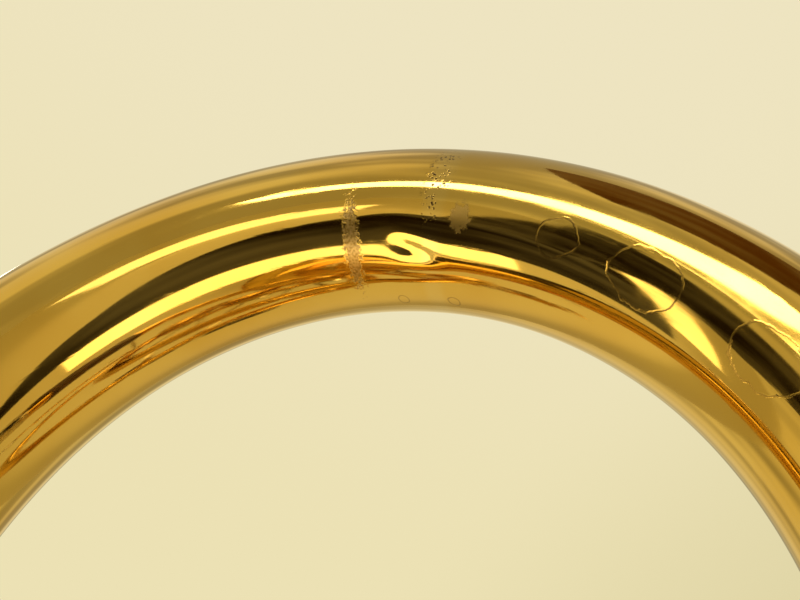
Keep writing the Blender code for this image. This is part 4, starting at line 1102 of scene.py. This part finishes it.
# %% Slides below the valves
for number, (x, length) in enumerate(zip(VALVE_XS, VALVE_SLIDE_LENGTHS), 1):
    top = VALVE_Z - PORT_REACH - SEAT_GAP
    legs = (x - PORT_OFFSET, x + PORT_OFFSET)
    sleeves = [slide_sleeve(Vector((leg, VALVE_Y, top - length)),
                            Vector((leg, VALVE_Y, top))) for leg in legs]
    low = top - length + 0.0075
    stay = turned([(0, 0), (0.0026, 0), (0.0022, 0.0004), (0.0013, 0.0009), (0.0011, 0.0020),
                   (0.0013, 0.0040),
                   (0.0016, 0.0043), (0.0013, 0.0046), (0.0011, 0.0066), (0.0013, 0.0077), (0.0022, 0.0082),
                   (0.0026, 0.0086), (0, 0.0086)], 24, Vector((x - 0.0043, VALVE_Y, low)), Vector((1, 0, 0)))
    place(f"valve_{number}_slide_sleeves", joined(sleeves), nickel_silver, f"valve_{number}_slide_outer")
    place(f"valve_{number}_slide_stay", stay, nickel_silver, body="horn_body", slot="nickel_silver")
    bottom = top - length - VALVE_SLIDE_SHOWN
    route = u_route(*legs, bottom, VALVE_Y, top - 0.15 * length, True, 48)
    place(f"valve_{number}_slide_bow", pipe(route, [SLIDE_LEG] * len(route), SLIDE_WALL, 40), lacquered_brass,
          f"valve_{number}_slide")
    below = Vector((x, VALVE_Y + SLIDE_LEG - 0.0004, bottom - PORT_OFFSET))
    place(f"valve_{number}_slide_knob", knob(below, AHEAD, 0.75), nickel_silver,
          body=body_of[f"valve_{number}_slide"],
          slot="nickel_silver")
print("valve slides", [round(1000 * length) for length in VALVE_SLIDE_LENGTHS], "mm")

# %% [markdown]
# ## Levers
# Three paddles turn on one steel axle. Each lever is cast in nickel silver: a hub, an arm
# with softened edges, a touchpiece dished to fit a fingertip, and a short crank behind.
# The link is a flat bar with a round eye at each end and a screw at its lower eye.

# %% Levers and links
HOLE = AXLE_RADIUS + 0.00012
RISE = math.radians(PRESS_ANGLE / 2)


def lever_mesh(hub_x, paddle_x):
    hub = turned([(HOLE, 0), (HUB_RADIUS - 0.0005, 0), (HUB_RADIUS, 0.0005), (HUB_RADIUS, 0.0013),
                  (HUB_RADIUS - 0.0003, 0.0016), (HUB_RADIUS - 0.0003, 2 * HUB_HALF - 0.0016),
                  (HUB_RADIUS, 2 * HUB_HALF - 0.0013), (HUB_RADIUS, 2 * HUB_HALF - 0.0005),
                  (HUB_RADIUS - 0.0005, 2 * HUB_HALF), (HOLE, 2 * HUB_HALF)],
                 48, Vector((hub_x - HUB_HALF, AXLE_Y, AXLE_Z)), Vector((1, 0, 0)))
    half, wide = ARM_WIDTH / 2, PADDLE_WIDTH / 2
    neck = AXLE_Z + ARM_REACH
    top = neck + PADDLE_LENGTH
    bend = AXLE_Z + 0.010
    outline = [(hub_x - half, bend), (hub_x - half, AXLE_Z - 0.002), (hub_x + half, AXLE_Z - 0.002),
               (hub_x + half, bend),
               (paddle_x + half, neck), *circle((paddle_x + wide - 0.006, neck + 0.010), 0.006, -50, 0, 8),
               *circle((paddle_x + wide - 0.007, top - 0.007), 0.007, 0, 90, 14),
               *circle((paddle_x - wide + 0.007, top - 0.007), 0.007, 90, 180, 14),
               *circle((paddle_x - wide + 0.006, neck + 0.010), 0.006, 180, 230, 8), (paddle_x - half, neck)]
    low = AXLE_Y + HUB_RADIUS - ARM_THICK + 0.0004
    arm = plate(outline, low, low + ARM_THICK, "Y")
    along = Vector((0, -math.cos(RISE), math.sin(RISE)))
    across = Vector((0, math.sin(RISE), math.cos(RISE))) * 0.0019
    pivot = Vector((0, AXLE_Y, AXLE_Z))
    near = pivot + along * (HOLE + 0.0008)
    far = pivot + along * (CRANK_LENGTH - LINK_THICK / 2 - SEAT_GAP)
    corners = [near - across, near + across, far + across, far - across]
    crank = plate([(corner.y, corner.z) for corner in corners], hub_x - 0.0019, hub_x + 0.0019, "X")
    dish = turned([(0, 0), (0.0062, 0.0002), (0.0066, 0.0024), (0, 0.0024)], 48,
                  Vector((paddle_x, low + ARM_THICK - 0.00035, (neck + top) / 2 + 0.004)), AHEAD)
    return combined(hub, ("UNION", arm), ("UNION", crank), ("DIFFERENCE", dish))


def link_mesh(x):
    top = AXLE_Z + CRANK_LENGTH * math.sin(RISE)
    bottom = VALVE_Z + PIN_OFFSET
    half, waist = LINK_WIDTH / 2, LINK_WIDTH / 2 - 0.0007
    outline = circle((x, top), half, -50, 230, 24) + [(x - waist, top - 0.0034), (x - waist, bottom + 0.0034)]
    outline += circle((x, bottom), half, 130, 410, 24) + [(x + waist, bottom + 0.0034),
                                                          (x + waist, top - 0.0034)]
    return plate(outline, LINK_Y - LINK_THICK / 2, LINK_Y + LINK_THICK / 2, "Y")


for number, hub_x in enumerate(HUB_XS, 1):
    paddle_x = HUB_XS[1] + (number - 2) * PADDLE_PITCH
    place(f"lever_{number}_cast", lever_mesh(hub_x, paddle_x), nickel_silver, f"lever_{number}", bevel=0.0004)
    place(f"link_{number}_cut", link_mesh(hub_x), nickel_silver, f"link_{number}", bevel=0.0003)
    face = LINK_Y + LINK_THICK / 2 - 0.0001
    lower_eye = Vector((hub_x, face, VALVE_Z + PIN_OFFSET))
    place(f"link_{number}_screw", screw_meshes(lower_eye, 0.0020, 0.0009, AHEAD, 0.9 * number), spring_steel,
          body=body_of[f"link_{number}"], slot="steel")


# %% [markdown]
# Each lever is pushed back by a coil of steel wire round the axle. The axle itself turns in
# the eyes of two posts, which stand on the knuckles between the valves.

# %% Springs, axle and posts
SPRING_WIRE, SPRING_TURNS, SPRING_PITCH = 0.0005, 3, 0.0014
AXLE_OUT = Vector((1, 0, 0))


def spring_mesh(start_x, way):
    radius = AXLE_RADIUS + 0.0012
    steps = SPRING_TURNS * 36
    coil = []
    for step in range(steps + 1):
        angle = 2 * math.pi * step / 36
        coil.append(Vector((start_x + way * SPRING_PITCH * step / 36, AXLE_Y + radius * math.cos(angle),
                            AXLE_Z + radius * math.sin(angle))))
    tail = Vector((0, 0, 0.007))
    return rod([coil[0] - tail, *coil, coil[-1] + tail], SPRING_WIRE, 14, Vector((1, 0, 0)))


def post_mesh(x):
    base = VALVE_Y + TUBE_RADIUS - 0.0003
    height = AXLE_Y - base
    eye = HUB_RADIUS - 0.0002
    points = [(0, 0), (0.0050, 0), (0.0050, 0.0009), (0.0043, 0.0016), (0.0026, 0.0030), (0.0020, 0.0060),
              (0.0019, 0.45 * height), (0.0024, 0.47 * height), (0.0027, 0.49 * height),
              (0.0024, 0.51 * height),
              (0.0019, 0.53 * height), (0.0020, height - 0.0075), (0.0024, height - 0.7 * eye),
              (0, height - 0.7 * eye)]
    stem = turned(points, 40, Vector((x, base, AXLE_Z)), AHEAD)
    half = 0.0028
    ring = turned([(HOLE, 0), (eye - 0.0005, 0), (eye, 0.0005), (eye, 2 * half - 0.0005),
                   (eye - 0.0005, 2 * half),
                   (HOLE, 2 * half)], 48, Vector((x - half, AXLE_Y, AXLE_Z)), AXLE_OUT)
    return combined(ring, ("UNION", stem))


for number, hub_x in enumerate(HUB_XS, 1):
    way = -1 if number == 1 else 1
    start_x = hub_x + way * (HUB_HALF + SPRING_WIRE + SEAT_GAP)
    place(f"lever_{number}_coil", spring_mesh(start_x, way), spring_steel, f"lever_{number}_spring")
low_x, high_x = HUB_XS[0] - HUB_HALF - AXLE_OVERHANG, HUB_XS[-1] + HUB_HALF + AXLE_OVERHANG
span = high_x - low_x
end = [(0, 0), (0.0020, 0), (0.0033, 0.0004), (0.0036, 0.0010), (0.0036, 0.0026), (0.0031, 0.0031),
       (AXLE_RADIUS, 0.0031)]
axle_points = end + [(radius, span - height) for radius, height in end[::-1]]
place("lever_axle_turned", turned(axle_points, 40, Vector((low_x, AXLE_Y, AXLE_Z)), AXLE_OUT), spring_steel,
      "lever_axle")
for number, x in enumerate((VALVE_XS[0] + VALVE_XS[1], VALVE_XS[1] + VALVE_XS[2]), 1):
    place(f"axle_post_{number}_turned", post_mesh(x / 2), nickel_silver, f"axle_post_{number}")
print("axle", round(1000 * span), "mm long on two posts")

# %% [markdown]
# ## Braces and the finger hook
# Braces are turned rods with a ball in the middle and a flared foot that follows the tube.
# The hook takes the little finger, so that the left hand can carry the horn.

# %% Braces
def brace_mesh(start, end):
    length = (end - start).length
    foot = [(0.0, -0.0004), (0.0052, -0.0004), (0.0052, 0.0002), (0.0046, 0.0008), (0.0030, 0.0016),
            (0.0021, 0.0028)]
    middle = []
    if length > 0.014:
        middle = [(0.0017, length / 2 - 0.0026), (0.0026, length / 2 - 0.0014), (0.0029, length / 2),
                  (0.0026, length / 2 + 0.0014), (0.0017, length / 2 + 0.0026)]
    return turned(foot + middle + [(r, length - h) for r, h in foot[::-1]], 40, start,
                  (end - start).normalized())


def brace(name, start, end):
    place(name + "_turned", brace_mesh(Vector(start), Vector(end)), nickel_silver, name)


leg_z = -(LOWER_BOW_DEPTH - 0.028)
brace("brace_bell", (BELL_X, bell_radius(BELL_HEIGHT + leg_z - 0.0050), leg_z),
      (BELL_X, VALVE_Y - BRANCH_MIDDLE - 0.0004, leg_z))
side_z = -LOOP_DEPTH + 0.004
side_x = (BOW_RADIUS + LOOP_RADIUS) / 2 + 0.002
brace("brace_side", (side_x, leg_radius(side_z) - 0.0004, side_z),
      (side_x, LOOP_Y - TUBE_RADIUS + 0.0002, side_z))
brace("brace_mouthpipe", (0, LOOP_Y, -LOOP_DEPTH - LOOP_RADIUS - TUBE_RADIUS),
      (0, LOOP_Y, -LOOP_DEPTH - MOUTHPIPE_RADIUS + TUBE_RADIUS))
brace("brace_tuning_slide", (-MOUTHPIPE_RADIUS + SLIDE_OUTER, LOOP_Y, MAIN_SLIDE_TOP - 0.02),
      (-LOOP_RADIUS - SLIDE_OUTER, LOOP_Y, MAIN_SLIDE_TOP - 0.02))

# %% [markdown]
# The hook is a bent wire with a round foot at one end and a ball at the other, so that no
# end can scratch the finger.

# %% Finger hook
HOOK_RADIUS, HOOK_WIRE = 0.0125, 0.0022
hook_start = Vector((LOOP_RADIUS - TUBE_RADIUS + 0.0002, LOOP_Y, -0.5 * (UPPER_BEND_DEPTH + LOOP_DEPTH)))
hook_neck = hook_start - Vector((0.006, 0, 0))
hook_bend = arc(hook_neck.x - 0.002, hook_neck.z + HOOK_RADIUS, HOOK_RADIUS, -90, -270, 60, LOOP_Y)
hook_tip = hook_bend[-1] + Vector((0.006, 0, 0))
wire = rod([hook_start, hook_neck, *hook_bend, hook_tip], HOOK_WIRE, 32)
ball = turned([(0, -0.0030), *[(0.0030 * math.cos(a), 0.0030 * math.sin(a)) for a in
                               [math.radians(d) for d in range(-75, 76, 15)]], (0, 0.0030)], 32, hook_tip)
foot = turned([(0, 0), (0.0056, 0), (0.0056, 0.0006), (0.0050, 0.0013), (0.0030, 0.0020), (0, 0.0020)], 40,
              hook_start,
              Vector((-1, 0, 0)))
place("finger_hook_bent", combined(wire, ("UNION", foot), ("UNION", ball)), nickel_silver, "finger_hook",
      sharp=50)
print("hook wire", 2000 * HOOK_WIRE, "mm")

# %% [markdown]
# The rotors and their bearings are closed in by the casings and caps, so the frame's own
# solids stay, and only take the right metal.

# %% Parts inside the valves, which never show
for number in (1, 2, 3):
    for hidden in ("rotor", "bearing"):
        inner = frame["nodes"][f"valve_{number}_{hidden}"]
        for place_in in inner.material_slots:
            place_in.material = nickel_silver
print("rotors and bearings stay as they are in the frame")

# %% [markdown]
# ## The setting
# The horn lies on its bell on a pale table in a plain light room. Polished metal has little
# look of its own: it shows what stands round it. So the room matters as much as the brass:
# a cream wall all round, a dark shape in front and below for the deep band along the bow,
# and lamps that leave one soft and one sharp streak.

# %% Wall, table and the dark shape in front
CREAM_TOP, CREAM_LOW = "#EEE4C1", "#ECE1B4"


def plain(name, colour, roughness=0.8):
    made = bpy.data.materials.new(name)
    made.use_nodes = True
    tree = made.node_tree
    shader = tree.nodes["Principled BSDF"]
    cloud = add(tree, "ShaderNodeTexNoise", {"Scale": 3.0, "Detail": 3.0}).outputs[0]
    tone = blend_colour(tree, smooth_range(tree, cloud, 0.3, 0.7, 0.0, 0.12), linear(colour),
                        linear("#FFFFFF"))
    tree.links.new(tone, shader.inputs["Base Color"])
    shader.inputs["Roughness"].default_value = roughness
    shader.inputs["Specular IOR Level"].default_value = 0.0
    return made


def flat(name, corners, material):
    """A flat sheet of the setting, through its corners."""
    mesh = bpy.data.meshes.new(name)
    mesh.from_pydata([tuple(corner) for corner in corners], [], [tuple(range(len(corners)))])
    mesh.materials.append(material)
    made = bpy.data.objects.new(name, mesh)
    bpy.context.scene.collection.objects.link(made)
    return made


def level_corners(low, high, z):
    return [(low[0], low[1], z), (high[0], low[1], z), (high[0], high[1], z), (low[0], high[1], z)]


flat("table", level_corners((-30, -30), (30, 30), 0.0), plain("pale_table", "#E2DCC6"))
dark_cloth = plain("dark_cloth", "#1C1409", 0.9)
front_outline = [(-1.7, -0.28), (1.3, -0.28), (1.3, -0.38), (0.32, -0.62), (-0.25, -1.0), (-1.7, -1.6)]
sleeve_outline = [(-0.52, -0.42), (-0.498, -0.206), (-0.47, 0.034), (-0.36, 0.23), (-0.50, 0.25),
                  (-1.30, 0.25),
                  (-1.30, 0.0), (-0.90, -0.08), (-1.00, -0.42)]
overhead_outline = [(0.1, -1.6), (1.8, -1.6), (1.8, -0.4), (0.1, -0.4)]
dark_shapes = [flat("dark_front", [(x, y, 0.004) for x, y in front_outline], dark_cloth),
               flat("dark_sleeve", [HORN_CENTRE + Vector((x, -1.0, z)) for x, z in sleeve_outline],
                    dark_cloth),
               flat("dark_overhead", [HORN_CENTRE + Vector((x, y, 1.7)) for x, y in overhead_outline],
                    plain("brown_cloth", "#6B4A22", 0.9))]
# Two pale sheets that glow though they are no lamps, seen only in reflections on the metal: painted
# reflections of lit paper.
glow = bpy.data.materials.new("glowing_reflection_sheet")
glow.use_nodes = True
glow.node_tree.nodes["Principled BSDF"].inputs["Base Color"].default_value = linear("#F4EAD2")
glow.node_tree.nodes["Principled BSDF"].inputs["Emission Color"].default_value = linear("#FFF0D0")
glow.node_tree.nodes["Principled BSDF"].inputs["Emission Strength"].default_value = 2.0
bright_shapes = [flat("bright_near", level_corners((-0.55, -0.27), (0.5, -0.10), 0.004), glow),
                 flat("bright_left", level_corners((-3.2, -3.0), (-1.75, -0.7), 0.004), glow)]
for shape in dark_shapes + bright_shapes:
    for kind in ("camera", "diffuse", "shadow", "transmission", "volume_scatter"):
        setattr(shape, "visible_" + kind, False)
scene = bpy.context.scene
world = bpy.data.worlds.new("light room")
scene.world = world
world.use_nodes = True
room = world.node_tree
room.nodes.clear()
height = add(room, "ShaderNodeSeparateXYZ",
             {0: add(room, "ShaderNodeTexCoord").outputs["Generated"]}).outputs[2]
wall = blend_colour(room, smooth_range(room, height, 0.35, 0.95), linear(CREAM_LOW), linear(CREAM_TOP))
corner = add(room, "ShaderNodeVectorMath", {0: add(room, "ShaderNodeTexCoord").outputs["Generated"],
                                            1: (0.65, 0.65, -0.40)}, operation="DOT_PRODUCT").outputs["Value"]
shade = smooth_range(room, corner, 0.25, 0.75, 0.0, 0.8)
shaded = blend_colour(room, shade, wall, linear("#D8CD9C"))
seen = add(room, "ShaderNodeBackground", {"Color": shaded, "Strength": 1.0})
spread = add(room, "ShaderNodeMapping", {"Vector": add(room, "ShaderNodeTexCoord").outputs["Generated"],
                                         "Scale": (1.0, 1.0, 0.6)}).outputs[0]
uneven = add(room, "ShaderNodeTexNoise", {"Vector": spread, "Scale": 2.4, "Detail": 2.0}).outputs[0]
strength = smooth_range(room, uneven, 0.38, 0.62, 0.5, 1.0)
lighting = add(room, "ShaderNodeBackground", {"Color": wall, "Strength": strength})
to_camera = add(room, "ShaderNodeLightPath").outputs["Is Camera Ray"]
either = add(room, "ShaderNodeMixShader", {0: to_camera, 1: lighting.outputs[0], 2: seen.outputs[0]})
add(room, "ShaderNodeOutputWorld", {"Surface": either.outputs[0]})
print("room", CREAM_TOP, "to", CREAM_LOW)

# %% [markdown]
# Soft boxes stand round the horn. Those in front leave the long streaks on the bow, and the
# one above and behind only fills the shadows.

# %% Lamps
def lamp(name, place_at, size, strength, lean=0.0, colour="#FFF6E6"):
    """A soft box at a place measured from the bow's centre. It faces the top of the bow."""
    light = bpy.data.lights.new(name, "AREA")
    light.shape, (light.size, light.size_y) = "RECTANGLE", size
    light.energy = strength * math.pi * size[0] * size[1]
    light.color = linear(colour)[:3]
    made = bpy.data.objects.new(name, light)
    bpy.context.scene.collection.objects.link(made)
    away = Vector((0, 0, BOW_RADIUS)) - Vector(place_at)
    made.location = HORN_CENTRE + Vector(place_at)
    aim = away.normalized().to_track_quat("-Z", "Y").to_matrix()
    made.rotation_euler = (aim @ Matrix.Rotation(math.radians(lean), 3, "Z")).to_euler()
    return made


lamp("front streak", (-0.12, -1.6, 0.86), (0.20, 1.0), 8.0, -66)
lamp("front streak edge", (-0.05, -1.6, 0.70), (0.04, 0.9), 4.0, -66)
lamp("front soft box", (-0.25, -1.7, -0.30), (0.60, 0.30), 2.0, 20)
lamp("left soft box", (-1.9, 0.5, 0.9), (0.9, 0.9), 4.0)
lamp("top fill", (0.2, 1.3, 1.9), (1.5, 1.5), 2.6).visible_glossy = False
print("five lamps")

# %% [markdown]
# ## The camera
# It looks up from in front, close under the arch of the bow, so that only the arch shows
# against the plain wall.

# %% Camera
CAMERA_AT = Vector((0.0567, -0.11728, -0.0336))
RIGHT, UP, FORWARD = Vector((0.961, 0.2295, 0.1536)), Vector((0.047, -0.684, 0.728)), Vector((-0.272, 0.692,
                                                                                              0.668))
lens = bpy.data.cameras.new("camera")
lens.sensor_fit, lens.sensor_width, lens.lens = "HORIZONTAL", 36.0, 31.9
lens.clip_start = 0.005
camera = bpy.data.objects.new("camera", lens)
scene.collection.objects.link(camera)
turn = Matrix((RIGHT, UP, -FORWARD)).transposed().to_4x4()
camera.matrix_world = Matrix.Translation(HORN_CENTRE + CAMERA_AT) @ turn
scene.camera = camera
scene.view_settings.view_transform = "Standard"
print("camera", [round(c, 3) for c in camera.matrix_world.translation])
